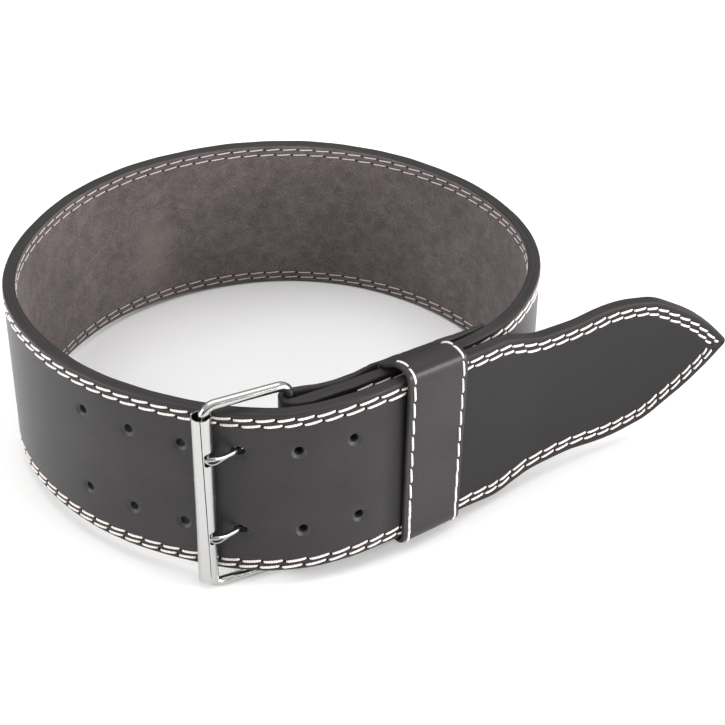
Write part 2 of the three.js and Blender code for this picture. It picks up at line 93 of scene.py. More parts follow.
# stitching
ROWS = (3.42, 6.97)                        # distance of the two rows from the edge
PITCH = 10.6
PHASE = (0.05, 6.85)                         # along the upper edge, where the first hole of each row lies
PHASE_LOW = (0.05, 8.85)
TAIL_ROWS = np.array([  # length along the edge from the tip, rows further in on the upper edge, on the lower edge
    (0, 1.1, 1.4), (25, 0.9, 1.8), (60, 0.6, 2.0), (120, 0.4, 2.0), (175, 0.3, 1.6), (205, 0.1, 0.8), (225, 0, 0.8), (258, 0, 0)])
HOLE_STEP = np.array([(0, 7.4), (12, 8.4), (40, 9.1), (90, 9.6), (160, 10.2), (230, 10.7), (1300, 10.7)])
SEWN_TO = 851.0

# ------------------------------------------------------------- small maths
rad = math.radians


def natural_cubic(x, y):
    x, y = np.asarray(x, float), np.asarray(y, float)
    n = len(x)
    A, d = np.zeros((n, n)), np.zeros(n)
    A[0, 0] = A[-1, -1] = 1
    for i in range(1, n - 1):
        h0, h1 = x[i] - x[i - 1], x[i + 1] - x[i]
        A[i, i - 1:i + 2] = h0, 2 * (h0 + h1), h1
        d[i] = 6 * ((y[i + 1] - y[i]) / h1 - (y[i] - y[i - 1]) / h0)
    m = np.linalg.solve(A, d)

    def f(v):
        v = np.clip(np.asarray(v, float), x[0], x[-1])
        i = np.clip(np.searchsorted(x, v, side="right") - 1, 0, n - 2)
        h = x[i + 1] - x[i]
        p, q = (x[i + 1] - v) / h, (v - x[i]) / h
        return p * y[i] + q * y[i + 1] + ((p ** 3 - p) * m[i] + (q ** 3 - q) * m[i + 1]) * h * h / 6
    return f


def monotone(x, y):
    x, y = np.asarray(x, float), np.asarray(y, float)
    h, s = np.diff(x), np.diff(y) / np.diff(x)
    g = np.zeros(len(x))
    for i in range(1, len(x) - 1):
        if s[i - 1] * s[i] > 0:
            w1, w2 = 2 * h[i] + h[i - 1], h[i] + 2 * h[i - 1]
            g[i] = (w1 + w2) / (w1 / s[i - 1] + w2 / s[i])
    g[0] = s[0]

    def f(v):
        v = np.clip(np.asarray(v, float), x[0], x[-1])
        i = np.clip(np.searchsorted(x, v, side="right") - 1, 0, len(x) - 2)
        t = (v - x[i]) / h[i]
        t2, t3 = t * t, t * t * t
        return ((2 * t3 - 3 * t2 + 1) * y[i] + (t3 - 2 * t2 + t) * h[i] * g[i]
                + (-2 * t3 + 3 * t2) * y[i + 1] + (t3 - t2) * h[i] * g[i + 1])
    return f


def catmull(points, counts):
    """smooth curve through the rows of points, counts[i] steps on span i"""
    P = np.asarray(points, float)
    P = np.vstack([2 * P[0] - P[1], P, 2 * P[-1] - P[-2]])
    out = []
    for i, c in enumerate(counts):
        a, b, e, g = P[i], P[i + 1], P[i + 2], P[i + 3]
        ta = 0.0
        tb = ta + max(np.linalg.norm(b - a), 1e-6) ** 0.5
        te = tb + max(np.linalg.norm(e - b), 1e-6) ** 0.5
        tg = te + max(np.linalg.norm(g - e), 1e-6) ** 0.5
        for k in range(c):
            t = tb + (te - tb) * k / c
            A1 = (tb - t) / (tb - ta) * a + (t - ta) / (tb - ta) * b
            A2 = (te - t) / (te - tb) * b + (t - tb) / (te - tb) * e
            A3 = (tg - t) / (tg - te) * e + (t - te) / (tg - te) * g
            B1 = (te - t) / (te - ta) * A1 + (t - ta) / (te - ta) * A2
            B2 = (tg - t) / (tg - tb) * A2 + (t - tb) / (tg - tb) * A3
            out.append((te - t) / (te - tb) * B1 + (t - tb) / (te - tb) * B2)
    out.append(P[-2])
    return np.array(out)


def unit(v):
    return v / np.maximum(np.linalg.norm(v, axis=-1, keepdims=True), 1e-12)


# --------------------------------------------------------- the middle line
bend, rise, half_width = natural_cubic(BEND_AT, BEND_TURN), natural_cubic(RISE_AT, RISE), monotone(TAIL_AT, TAIL_HALF)
FINE = 0.25


def walk(to):
    n = int(round(abs(to) / FINE))
    step = math.copysign(FINE, to)
    s = np.arange(n + 1) * step
    k = np.radians(bend((s[:-1] + s[1:]) / 2)) / 100
    a = rad(START[2]) + np.concatenate([[0], np.cumsum(step * k)])
    am = (a[:-1] + a[1:]) / 2
    x = START[0] + np.concatenate([[0], np.cumsum(np.cos(am) * step)])
    y = START[1] + np.concatenate([[0], np.cumsum(np.sin(am) * step)])
    return np.column_stack([s, x, y, a])


LINE = np.vstack([walk(-330)[::-1], walk(900)[1:]])


def station(s):
    x, y, a = (np.interp(s, LINE[:, 0], LINE[:, k]) for k in (1, 2, 3))
    return x, y, -np.sin(a), np.cos(a)


def strap_point(s, w, off):
    s, w, off = np.broadcast_arrays(np.asarray(s, float), np.asarray(w, float), np.asarray(off, float))
    tail = s < 40
    w = np.where(w < 0, w * (1 + 0.03 * np.clip((-112 - s) / 38, 0, 1)), w)
    zc = MID + np.where(tail, rise(s), 0)
    lean = np.where(tail, np.arctan(rise(s + 0.5) - rise(s - 0.5)), 0)
    x, y, nx, ny = station(s - w * np.sin(lean))
    return np.stack([x + nx * off, y + ny * off, zc + w * np.cos(lean)], -1)


HEEL = (ROLLER["x"] + (WIRE_SHIFT + FRAME_LONG) * math.cos(rad(FRAME_DEG)),
        ROLLER["y"] + (WIRE_SHIFT + FRAME_LONG) * math.sin(rad(FRAME_DEG)))
FT = np.array([math.cos(rad(FOLD_DEG)), math.sin(rad(FOLD_DEG))])
FQ = np.array([FT[1], -FT[0]])


def at_fold(t, q):
    return np.array(HEEL) + np.multiply.outer(t, FT) + np.multiply.outer(q, FQ)


# ----------------------------------------------------- standing on its rim
def turn_matrix():
    t, a = rad(REST["tilt"]), rad(REST["about"])
    return np.array(Matrix.Rotation(t, 3, Vector((math.cos(a), math.sin(a), 0))))


TURN = turn_matrix()
SHIFT = np.array([REST["x"], REST["y"], REST["z"]])


def stand(p):
    return (np.asarray(p, float) @ TURN.T + SHIFT) * 0.001


# ---------------------------------------------------------------- meshes
def make(name, verts, faces, mats, index=None, uvs=None, smooth=True):
    """faces is a list of index arrays, each (n, k); uvs is {name: list of arrays (n, k, 2)}"""
    me = bpy.data.meshes.new(name)
    verts = stand(verts)
    faces = [np.asarray(f, np.int32) for f in faces if len(f)]
    loops = np.concatenate([f.ravel() for f in faces])
    sizes = np.concatenate([np.full(len(f), f.shape[1], np.int32) for f in faces])
    starts = np.concatenate([[0], np.cumsum(sizes)[:-1]]).astype(np.int32)
    me.vertices.add(len(verts))
    me.vertices.foreach_set("co", verts.astype(np.float32).ravel())
    me.loops.add(len(loops))
    me.loops.foreach_set("vertex_index", loops)
    me.polygons.add(len(sizes))
    me.polygons.foreach_set("loop_start", starts)
    me.polygons.foreach_set("use_smooth", np.full(len(sizes), smooth))
    if index is not None:
        me.polygons.foreach_set("material_index", np.concatenate([np.asarray(i, np.int32) for i in index]))
    for key, parts in (uvs or {}).items():
        layer = me.uv_layers.new(name=key)
        layer.data.foreach_set("uv", np.concatenate([np.asarray(p, np.float32).reshape(-1, 2) for p in parts]).ravel())
    me.update(calc_edges=True)
    me.validate(clean_customdata=False)
    ob = bpy.data.objects.new(name, me)
    bpy.context.scene.collection.objects.link(ob)
    for m in mats:
        me.materials.append(m)
    return ob


def grid_faces(rows, cols, close_rows=False, close_cols=True):
    i, j = np.meshgrid(np.arange(rows if close_rows else rows - 1), np.arange(cols if close_cols else cols - 1), indexing="ij")
    i2, j2 = (i + 1) % rows, (j + 1) % cols
    return np.stack([i * cols + j, i * cols + j2, i2 * cols + j2, i2 * cols + j], -1).reshape(-1, 4)


def grid_uv(u, v, close_cols=True):
    """u, v (rows, cols + 1 when the columns close), given at the corners"""
    uv = np.stack([u, v], -1)
    a, b = uv[:-1, :-1], uv[:-1, 1:]
    c, d = uv[1:, 1:], uv[1:, :-1]
    return np.stack([a, b, c, d], -2).reshape(-1, 4, 2)


def outward(ob):
    """faces of a closed mesh turned to point out"""
    me = ob.data
    n = len(me.loop_triangles) or (me.calc_loop_triangles() or len(me.loop_triangles))
    t = np.zeros(n * 3, np.int32)
    me.loop_triangles.foreach_get("vertices", t)
    co = np.zeros(len(me.vertices) * 3, np.float32)
    me.vertices.foreach_get("co", co)
    p = co.reshape(-1, 3)[t.reshape(-1, 3)].astype(float)
    if np.einsum("ij,ij->i", p[:, 0], np.cross(p[:, 1], p[:, 2])).sum() < 0:
        me.flip_normals()
    return ob


def weld(ob, dist=2e-6):
    import bmesh
    bm = bmesh.new()
    bm.from_mesh(ob.data)
    bmesh.ops.remove_doubles(bm, verts=bm.verts, dist=dist)
    bmesh.ops.dissolve_degenerate(bm, edges=bm.edges, dist=dist)
    bmesh.ops.recalc_face_normals(bm, faces=bm.faces)
    bm.to_mesh(ob.data)
    bm.free()
    return ob


def subtract(ob, cutter):
    mod = ob.modifiers.new("cut", "BOOLEAN")
    mod.operation, mod.solver, mod.object = "DIFFERENCE", "EXACT", cutter
    mod.use_self = False
    dg = bpy.context.evaluated_depsgraph_get()
    me = bpy.data.meshes.new_from_object(ob.evaluated_get(dg), preserve_all_data_layers=True, depsgraph=dg)
    ob.modifiers.remove(mod)
    old, name = ob.data, ob.data.name
    ob.data = me
    bpy.data.meshes.remove(old)
    me.name = name
    me_c = cutter.data
    bpy.data.objects.remove(cutter)
    bpy.data.meshes.remove(me_c)
    return ob


def sharpen(ob, deg=35):
    ob.data.set_sharp_from_angle(angle=rad(deg))
    return ob


# -------------------------------------------------------------- materials
class Tree:
    """short hands for shader nodes"""

    def __init__(self, name):
        self.mat = bpy.data.materials.new(name)
        self.mat.use_nodes = True
        self.t = self.mat.node_tree
        self.t.nodes.clear()
        self.out = self.t.nodes.new("ShaderNodeOutputMaterial")
        self.bsdf = self.t.nodes.new("ShaderNodeBsdfPrincipled")
        self.t.links.new(self.bsdf.outputs[0], self.out.inputs[0])

    def link(self, value, socket):
        if isinstance(value, bpy.types.NodeSocket):
            self.t.links.new(value, socket)
        else:
            socket.default_value = value

    def node(self, kind, inputs=(), **props):
        n = self.t.nodes.new(kind)
        for k, v in props.items():
            setattr(n, k, v)
        for k, v in dict(inputs).items():
            self.link(v, n.inputs[k])
        return n

    def math(self, op, a, b=0.0, c=0.0, clamp=False):
        n = self.node("ShaderNodeMath", operation=op, use_clamp=clamp)
        for i, v in enumerate((a, b, c)):
            self.link(v, n.inputs[i])
        return n.outputs[0]

    def ramp(self, fac, stops, mode="LINEAR"):
        n = self.node("ShaderNodeValToRGB")
        n.color_ramp.interpolation = mode
        e = n.color_ramp.elements
        while len(e) < len(stops):
            e.new(0.5)
        for el, (p, c) in zip(e, stops):
            el.position = p
            el.color = (*c, 1) if isinstance(c, (tuple, list)) else (c, c, c, 1)
        self.link(fac, n.inputs[0])
        return n.outputs[0]

    def span(self, v, a, b, lo=0.0, hi=1.0, smooth=True):
        n = self.node("ShaderNodeMapRange", {0: v, 1: a, 2: b, 3: lo, 4: hi},
                      interpolation_type="SMOOTHSTEP" if smooth else "LINEAR")
        return n.outputs[0]

    def mix(self, fac, a, b, blend="MIX"):
        n = self.node("ShaderNodeMix", data_type="RGBA", blend_type=blend)
        self.link(fac, n.inputs[0])
        for v, k in ((a, 6), (b, 7)):
            self.link((*v, 1) if isinstance(v, (tuple, list)) and len(v) == 3 else v, n.inputs[k])
        return n.outputs[2]

    def object_co(self, scale=(1, 1, 1)):
        c = self.node("ShaderNodeTexCoord").outputs["Object"]
        return self.node("ShaderNodeMapping", {0: c, 3: scale}).outputs[0]

    def uv(self, name):
        return self.node("ShaderNodeUVMap", uv_map=name).outputs[0]

    def split(self, v):
        n = self.node("ShaderNodeSeparateXYZ", {0: v})
        return n.outputs[0], n.outputs[1]

    def join(self, x, y, z=0.0):
        return self.node("ShaderNodeCombineXYZ", {0: x, 1: y, 2: z}).outputs[0]

    def noise(self, v, scale, detail=4, rough=0.55, lac=2.0, dist=0.0):
        return self.node("ShaderNodeTexNoise", {"Vector": v, "Scale": scale, "Detail": detail, "Roughness": rough,
                                                "Lacunarity": lac, "Distortion": dist}).outputs[0]

    def voronoi(self, v, scale, feature="F1", rand=1.0, out=0):
        return self.node("ShaderNodeTexVoronoi", {"Vector": v, "Scale": scale, "Randomness": rand}, feature=feature).outputs[out]

    def bump(self, height, strength, distance, normal=None):
        n = self.node("ShaderNodeBump", {"Strength": strength, "Distance": distance, "Height": height})
        if normal is not None:
            self.link(normal, n.inputs["Normal"])
        return n.outputs[0]

    def set(self, **kw):
        for k, v in kw.items():
            s = self.bsdf.inputs[k.replace("_", " ")]
            self.link((*v, 1) if isinstance(v, (tuple, list)) and len(v) == 3 and s.type == "RGBA" else v, s)
        return self.mat


def pucker(t, uv_name, sew):
    """1 in the needle holes of the two rows, and how near a row is"""
    along, deep = t.split(t.uv(uv_name))
    low = t.math("GREATER_THAN", t.split(t.uv(sew))[1], 0.5)
    hole = row = 0.0
    for d, ph, ph_low in zip(ROWS, PHASE, PHASE_LOW):
        shift = t.math("ADD", t.math("MULTIPLY", low, ph_low - ph), ph - 10 * PITCH)
        f = t.math("FRACT", t.math("DIVIDE", t.math("SUBTRACT", t.math("MULTIPLY", along, 1000.0), shift), PITCH))
        dx = t.math("MULTIPLY", t.math("MINIMUM", f, t.math("SUBTRACT", 1.0, f)), PITCH)
        dy = t.math("SUBTRACT", t.math("MULTIPLY", deep, 1000.0), d)
        r = t.math("SQRT", t.math("ADD", t.math("MULTIPLY", dx, dx), t.math("MULTIPLY", dy, dy)))
        hole = t.math("MAXIMUM", hole, t.span(r, 1.05, 0.45))
        row = t.math("MAXIMUM", row, t.span(t.math("ABSOLUTE", dy), 1.5, 0.2))
    sewn = t.math("GREATER_THAN", t.split(t.uv(sew))[0], 0.5)
    return t.math("MULTIPLY", hole, sewn), t.math("MULTIPLY", row, sewn), deep


def grain_material(name, stitched=True):
    t = Tree(name)
    co = t.object_co()
    broad = t.noise(co, 22, 3, 0.5)
    fine = t.noise(co, 650, 5, 0.6)
    cells = t.voronoi(co, 1500, "SMOOTH_F1", 0.9)
    col = t.mix(t.span(broad, 0.3, 0.7), (0.0255, 0.0230, 0.0250), (0.0330, 0.0300, 0.0322))
    col = t.mix(t.math("MULTIPLY", t.span(fine, 0.35, 0.75), 0.30), col, (0.015, 0.0135, 0.015))
    rough = t.math("ADD", t.math("MULTIPLY", fine, 0.12), 0.27)
    height = t.math("ADD", t.math("MULTIPLY", cells, 0.5), t.math("MULTIPLY", fine, 0.6))
    nrm = t.bump(height, 0.30, 0.00012)
    if stitched:
        # painted shadow: the tail darkens towards the keeper's left edge, where the keeper's shadow falls; the
        # roughness rises there too
        run, across = t.split(t.uv("face"))
        near = t.math("ADD", run, t.math("MULTIPLY", across, 0.02))
        keeper_shadow = t.math("MULTIPLY", t.span(near, -0.060, -0.0735), t.math("LESS_THAN", near, -0.04))
        col = t.mix(t.math("MULTIPLY", keeper_shadow, 0.75), col, (0.008, 0.007, 0.0075))
        rough = t.math("ADD", rough, t.math("MULTIPLY", keeper_shadow, 0.22))
        hole, row, deep = pucker(t, "along", "sew")
        edge = t.span(deep, 0.0085, 0.0060)
        col = t.mix(t.math("MULTIPLY", edge, 0.35), col, (0.021, 0.016, 0.017))
        col = t.mix(t.math("MULTIPLY", row, 0.45), col, (0.016, 0.011, 0.012))
        # painted shade: the needle holes are coloured near black, as the shade inside them
        col = t.mix(hole, col, (0.0045, 0.0035, 0.0035))
        rough = t.math("ADD", rough, t.math("MULTIPLY", t.math("MAXIMUM", hole, t.math("MULTIPLY", row, 0.3)), 0.35))
        nrm = t.bump(t.math("MULTIPLY", hole, -1.0), 0.8, 0.0006, nrm)
    t.set(Base_Color=col, Roughness=rough, Normal=nrm)
    t.bsdf.inputs["Specular IOR Level"].default_value = 0.18
    t.bsdf.inputs["Coat Weight"].default_value = 0.05
    t.bsdf.inputs["Coat Roughness"].default_value = 0.22
    return t.mat


def edge_material(name):
    t = Tree(name)
    along, off = t.split(t.uv("face"))
    lines = t.noise(t.join(t.math("MULTIPLY", along, 30.0), t.math("MULTIPLY", off, 1500.0)), 1.0, 5, 0.6)
    fine = t.noise(t.object_co(), 900, 5, 0.65)
    broad = t.noise(t.object_co(), 45, 3)
    f = t.math("ADD", t.math("MULTIPLY", lines, 0.6), t.math("MULTIPLY", broad, 0.4))
    col = t.mix(t.span(f, 0.35, 0.65), (0.016, 0.0140, 0.0142), (0.027, 0.0240, 0.0240))
    col = t.mix(t.math("MULTIPLY", t.span(fine, 0.55, 0.8), 0.30), col, (0.060, 0.053, 0.050))
    nrm = t.bump(t.math("ADD", t.math("MULTIPLY", lines, 0.7), t.math("MULTIPLY", fine, 0.5)), 0.45, 0.00022)
    t.set(Base_Color=col, Roughness=t.math("ADD", t.math("MULTIPLY", fine, 0.2), 0.50), Normal=nrm)
    t.bsdf.inputs["Specular IOR Level"].default_value = 0.32
    return t.mat


def suede_material(name):
    t = Tree(name)
    along, up = t.split(t.uv("face"))
    bent = t.math("ADD", along, t.math("MULTIPLY", t.noise(t.object_co(), 20, 2), 0.012))
    nap = t.noise(t.join(t.math("MULTIPLY", bent, 1150.0), t.math("MULTIPLY", up, 430.0)), 1.0, 6, 0.72)
    fleck = t.noise(t.join(t.math("MULTIPLY", bent, 1900.0), t.math("MULTIPLY", up, 1150.0)), 1.0, 4, 0.7)
    mott = t.noise(t.object_co(), 130, 6, 0.66, dist=0.5)
    broad = t.noise(t.object_co(), 17, 3, 0.5)
    # the nap lies lighter in a patch at the side of the wearer
    dx = t.math("MULTIPLY", t.math("SUBTRACT", along, 0.361), 55.0)
    dy = t.math("MULTIPLY", t.math("ADD", up, 0.014), 28.0)
    far = t.math("ADD", t.math("SQRT", t.math("ADD", t.math("MULTIPLY", dx, dx), t.math("MULTIPLY", dy, dy))),
                 t.math("MULTIPLY", t.noise(t.object_co(), 60, 4), 0.9))
    patch = t.span(far, 1.75, 0.55)
    f = t.math("ADD", t.math("ADD", t.math("MULTIPLY", nap, 0.40), t.math("MULTIPLY", mott, 0.40)), t.math("MULTIPLY", broad, 0.20))
    col = t.ramp(f, [(0.41, (0.066, 0.0520, 0.0530)), (0.50, (0.099, 0.0795, 0.0805)), (0.60, (0.146, 0.1200, 0.1205))])
    col = t.mix(t.math("MULTIPLY", patch, 0.42), col, (0.235, 0.190, 0.175))
    col = t.mix(t.math("MULTIPLY", t.span(fleck, 0.53, 0.68), 0.55), col, (0.32, 0.275, 0.268))
    col = t.mix(t.math("MULTIPLY", t.span(fleck, 0.47, 0.33), 0.65), col, (0.036, 0.027, 0.0275))
    hole, row, deep = pucker(t, "along", "sew")
    col = t.mix(t.math("MULTIPLY", row, 0.35), col, (0.048, 0.038, 0.038))
    # painted shade: the needle holes are coloured near black, as the shade inside them
    col = t.mix(t.math("MULTIPLY", hole, 0.9), col, (0.010, 0.008, 0.008))
    nrm = t.bump(t.math("ADD", t.math("MULTIPLY", nap, 0.6), t.math("MULTIPLY", fleck, 0.6)), 0.75, 0.00045)
    t.set(Base_Color=col, Roughness=0.95, Normal=nrm)
    t.bsdf.inputs["Sheen Weight"].default_value = 0.15
    t.bsdf.inputs["Sheen Roughness"].default_value = 0.55
    t.bsdf.inputs["Sheen Tint"].default_value = (0.88, 0.80, 0.79, 1)
    t.bsdf.inputs["Specular IOR Level"].default_value = 0.2
    return t.mat


def raw_material(name):
    """cut walls of the punched holes"""
    t = Tree(name)
    n = t.noise(t.object_co(), 1500, 4, 0.6)
    t.set(Base_Color=t.mix(n, (0.016, 0.0145, 0.016), (0.048, 0.044, 0.048)), Roughness=0.55,
          Normal=t.bump(n, 0.5, 0.0002))
    return t.mat


def thread_material(name, light, dark, twist=1.25):
    t = Tree(name)
    u, v = t.split(t.uv("twist"))
    lay = t.math("FRACT", t.math("ADD", t.math("MULTIPLY", u, 1000.0 / twist), t.math("MULTIPLY", v, 1.0)))
    ply = t.math("ABSOLUTE", t.math("SUBTRACT", lay, 0.5))
    fuzz = t.noise(t.object_co(), 3000, 4, 0.6)
    # partly the thread's twist, partly painted shade: the grooves between the plies are darker
    col = t.mix(t.span(ply, 0.05, 0.34), dark, light)
    col = t.mix(t.math("MULTIPLY", t.span(fuzz, 0.45, 0.75), 0.35), col, dark)
    nrm = t.bump(t.math("ADD", t.math("MULTIPLY", t.math("POWER", ply, 0.6), 0.8), t.math("MULTIPLY", fuzz, 0.3)), 0.55, 0.00022)
    t.set(Base_Color=col, Roughness=0.72, Normal=nrm)
    t.bsdf.inputs["Sheen Weight"].default_value = 0.25
    t.bsdf.inputs["Sheen Roughness"].default_value = 0.4
    return t.mat


def nickel_material(name, streak=(60, 60, 4), rough=0.17, tone=(0.45, 0.45, 0.44), hollow=None):
    t = Tree(name)
    co = t.object_co(streak)
    brushed = t.noise(co, 28, 6, 0.65)
    smut = t.noise(t.object_co(), 160, 5, 0.6)
    col = t.mix(t.math("MULTIPLY", t.span(smut, 0.45, 0.75), 0.30), tone, (0.50, 0.49, 0.47))
    col = t.mix(t.math("MULTIPLY", t.span(brushed, 0.50, 0.72), 0.22), col, (0.42, 0.41, 0.40))
    if hollow:                                 # near black in the hollow of the leaf
        col = t.mix(t.math("MULTIPLY", t.span(t.split(t.uv(hollow))[0], 0.22, 0.62), 0.95), col, (0.022, 0.022, 0.019))
    t.set(Base_Color=col, Roughness=t.math("ADD", t.math("MULTIPLY", smut, 0.16), rough - 0.06),
          Normal=t.bump(t.math("ADD", brushed, t.math("MULTIPLY", smut, 0.6)), 0.16, 0.00012))
    t.bsdf.inputs["Metallic"].default_value = 1.0
    return t.mat


GRAIN = grain_material("grain_leather")
EDGE = edge_material("leather_edge")
SUEDE = suede_material("suede_side")
RAW = raw_material("cut_leather")
KEEPER_GRAIN = grain_material("keeper_grain_leather", stitched=False)
THREAD = thread_material("cream_thread", (0.90, 0.85, 0.82), (0.55, 0.47, 0.45))
THREAD_IN = thread_material("inner_thread", (0.66, 0.615, 0.60), (0.34, 0.29, 0.28))
NICKEL = nickel_material("nickel_wire", streak=(12, 12, 12), rough=0.15)
NICKEL_SHEET = nickel_material("nickel_sheet", streak=(60, 60, 3), rough=0.22, tone=(0.49, 0.49, 0.485))
NICKEL_PRONG = nickel_material("nickel_prong", streak=(12, 12, 12), rough=0.24, tone=(0.36, 0.36, 0.35), hollow="hollow")


# ------------------------------------------------------------------ strap
def tail_outline(step=2.0):
    """upper half of the tail's outline in the flat: u from the tip, w, inward normal, length along it"""
    a = np.radians(np.linspace(180, 138.0, 8))
    arc = np.column_stack([TIP_ROUND + TIP_ROUND * np.cos(a), TIP_ROUND * np.sin(a)])
    u = np.linspace(1.15, 160, 1600)
    run = np.column_stack([u, half_width(u)])
    length = np.concatenate([[0], np.cumsum(np.linalg.norm(np.diff(run, axis=0), axis=1))])
    first = np.array([0, 0.8, 1.8, 3.0])
    knots = np.concatenate([first, np.linspace(4.4, length[-1], int((length[-1] - 4.4) / step) + 1)])
    run = np.column_stack([np.interp(knots, length, run[:, k]) for k in (0, 1)])
    pts = np.vstack([arc, run])
    tan = np.gradient(pts, axis=0)
    tan[0] = (0, 1)
    tan[-1] = (1, 0)
    tan = unit(tan)
    normal = np.column_stack([tan[:, 1], -tan[:, 0]])      # points to the middle of the strap
    ell = np.concatenate([[0], np.cumsum(np.linalg.norm(np.diff(pts, axis=0), axis=1))])
    return pts, normal, ell


OUT_P, OUT_N, OUT_L = tail_outline()
ELL0 = OUT_L[-1]                              # length along the edge at the end of the tail shape
S0 = TIP_AT + 160


def ell_of(s):
    return ELL0 + (np.asarray(s, float) - S0)


def more(ell, side):
    """how much further in the rows lie on the tail; side +1 upper edge, -1 lower"""
    return np.where(side > 0, np.interp(ell, TAIL_ROWS[:, 0], TAIL_ROWS[:, 1]), np.interp(ell, TAIL_ROWS[:, 0], TAIL_ROWS[:, 2]))


WARP_L = np.arange(0, 1300, 0.5)
WARP = np.concatenate([[0], np.cumsum(0.5 * PITCH / np.interp(WARP_L[:-1] + 0.25, HOLE_STEP[:, 0], HOLE_STEP[:, 1]))])
WARP += float(ell_of(15.0)) - np.interp(float(ell_of(15.0)), WARP_L, WARP)


def warp(ell):
    """length along the edge to a measure in which the needle holes are evenly spaced"""
    return np.interp(ell, WARP_L, WARP)


def unwarp(m):
    return np.interp(m, WARP, WARP_L)


def sink(d):
    """how far a stitched row pulls the leather in"""
    return 0.20 * (np.exp(-((d - ROWS[0]) / 0.55) ** 2) + np.exp(-((d - ROWS[1]) / 0.55) ** 2))


OUT_D = np.array([9.4, 8.6, 7.95, 7.45, 6.97, 6.5, 6.0, 5.2, 4.4, 3.9, 3.42, 2.95, 2.5, 1.95])
IN_D = np.array([1.7, 2.4, 2.95, 3.42, 3.9, 5.2, 6.5, 6.97, 7.45, 9.4])
MID_W = np.array([-36, -31.5, -28.7, -27.2, -26, -24.9, -23.7, -22.5, -21.4, -20.2, -18.7, -16, -10, -4, 2, 8, 14,
                  18.5, 21.1, 22.6, 23.8, 24.9, 26.1, 27.3, 28.4, 29.6, 31.1, 35.5]) / 40.6
IN_W = np.array([-30, -20, -10, 0, 10, 20, 30]) / 40.6


def edge_profile(thick):
    """from the outer face over the edge to the inner face: distance from the edge, depth below the outer face, kind"""
    ro, ri = min(1.45, 0.34 * thick), min(1.15, 0.30 * thick)
    d, z, kind = list(OUT_D), list(sink(OUT_D) * min(1, thick / 7)), [0] * len(OUT_D)
    for a in (12, 34, 56, 78):
        d.append(ro * (1 - math.sin(rad(a))))
        z.append(ro * (1 - math.cos(rad(a))))
        kind.append(0 if a < 40 else 1)
    for f, g in ((0.0, 0.0), (0.3, -0.05), (0.44, 0.02), (0.5, 0.13), (0.56, 0.02), (0.75, -0.04), (1.0, 0.0)):
        d.append(max(g * min(1, thick / 7), 0) if g > 0 else g)
        z.append(ro + f * (thick - ro - ri))
        kind.append(1)
    for a in (70, 45, 20):
        d.append(ri * (1 - math.sin(rad(a))))
        z.append(thick - ri * (1 - math.cos(rad(a))))
        kind.append(1 if a > 30 else 2)
    d += list(IN_D)
    z += list(thick - sink(IN_D) * 0.8 * min(1, thick / 7))
    kind += [2] * len(IN_D)
    return np.array(d), np.array(z), np.array(kind)


def limit_inset(d, most):
    """distances from the edge, pressed together where the outline is too narrow for them"""
    keep = np.minimum(1.5, 0.5 * most)
    return np.where(d <= keep, d, keep + (d - keep) * (most - keep) / (9.4 - keep))


def hole_dip(s, w):
    """how far the grain side sinks round the punched holes"""
    dip = np.zeros(np.broadcast(s, w).shape)
    for i, h in enumerate(HOLE_AT):
        for z in HOLE_ROWS:
            r2 = (s - h) ** 2 + (w - (z - MID)) ** 2
            big = i == PRONG_HOLE
            dip += (0.75 if big else 0.42) * np.exp(-r2 / ((5.0 if big else 3.9) ** 2))
            if big:                                # the prong has pulled the leather towards the roller
                r2 = ((s - h - 4.5) / 1.6) ** 2 + (w - (z - MID)) ** 2
                dip += 0.45 * np.exp(-r2 / 3.4 ** 2)
    return dip


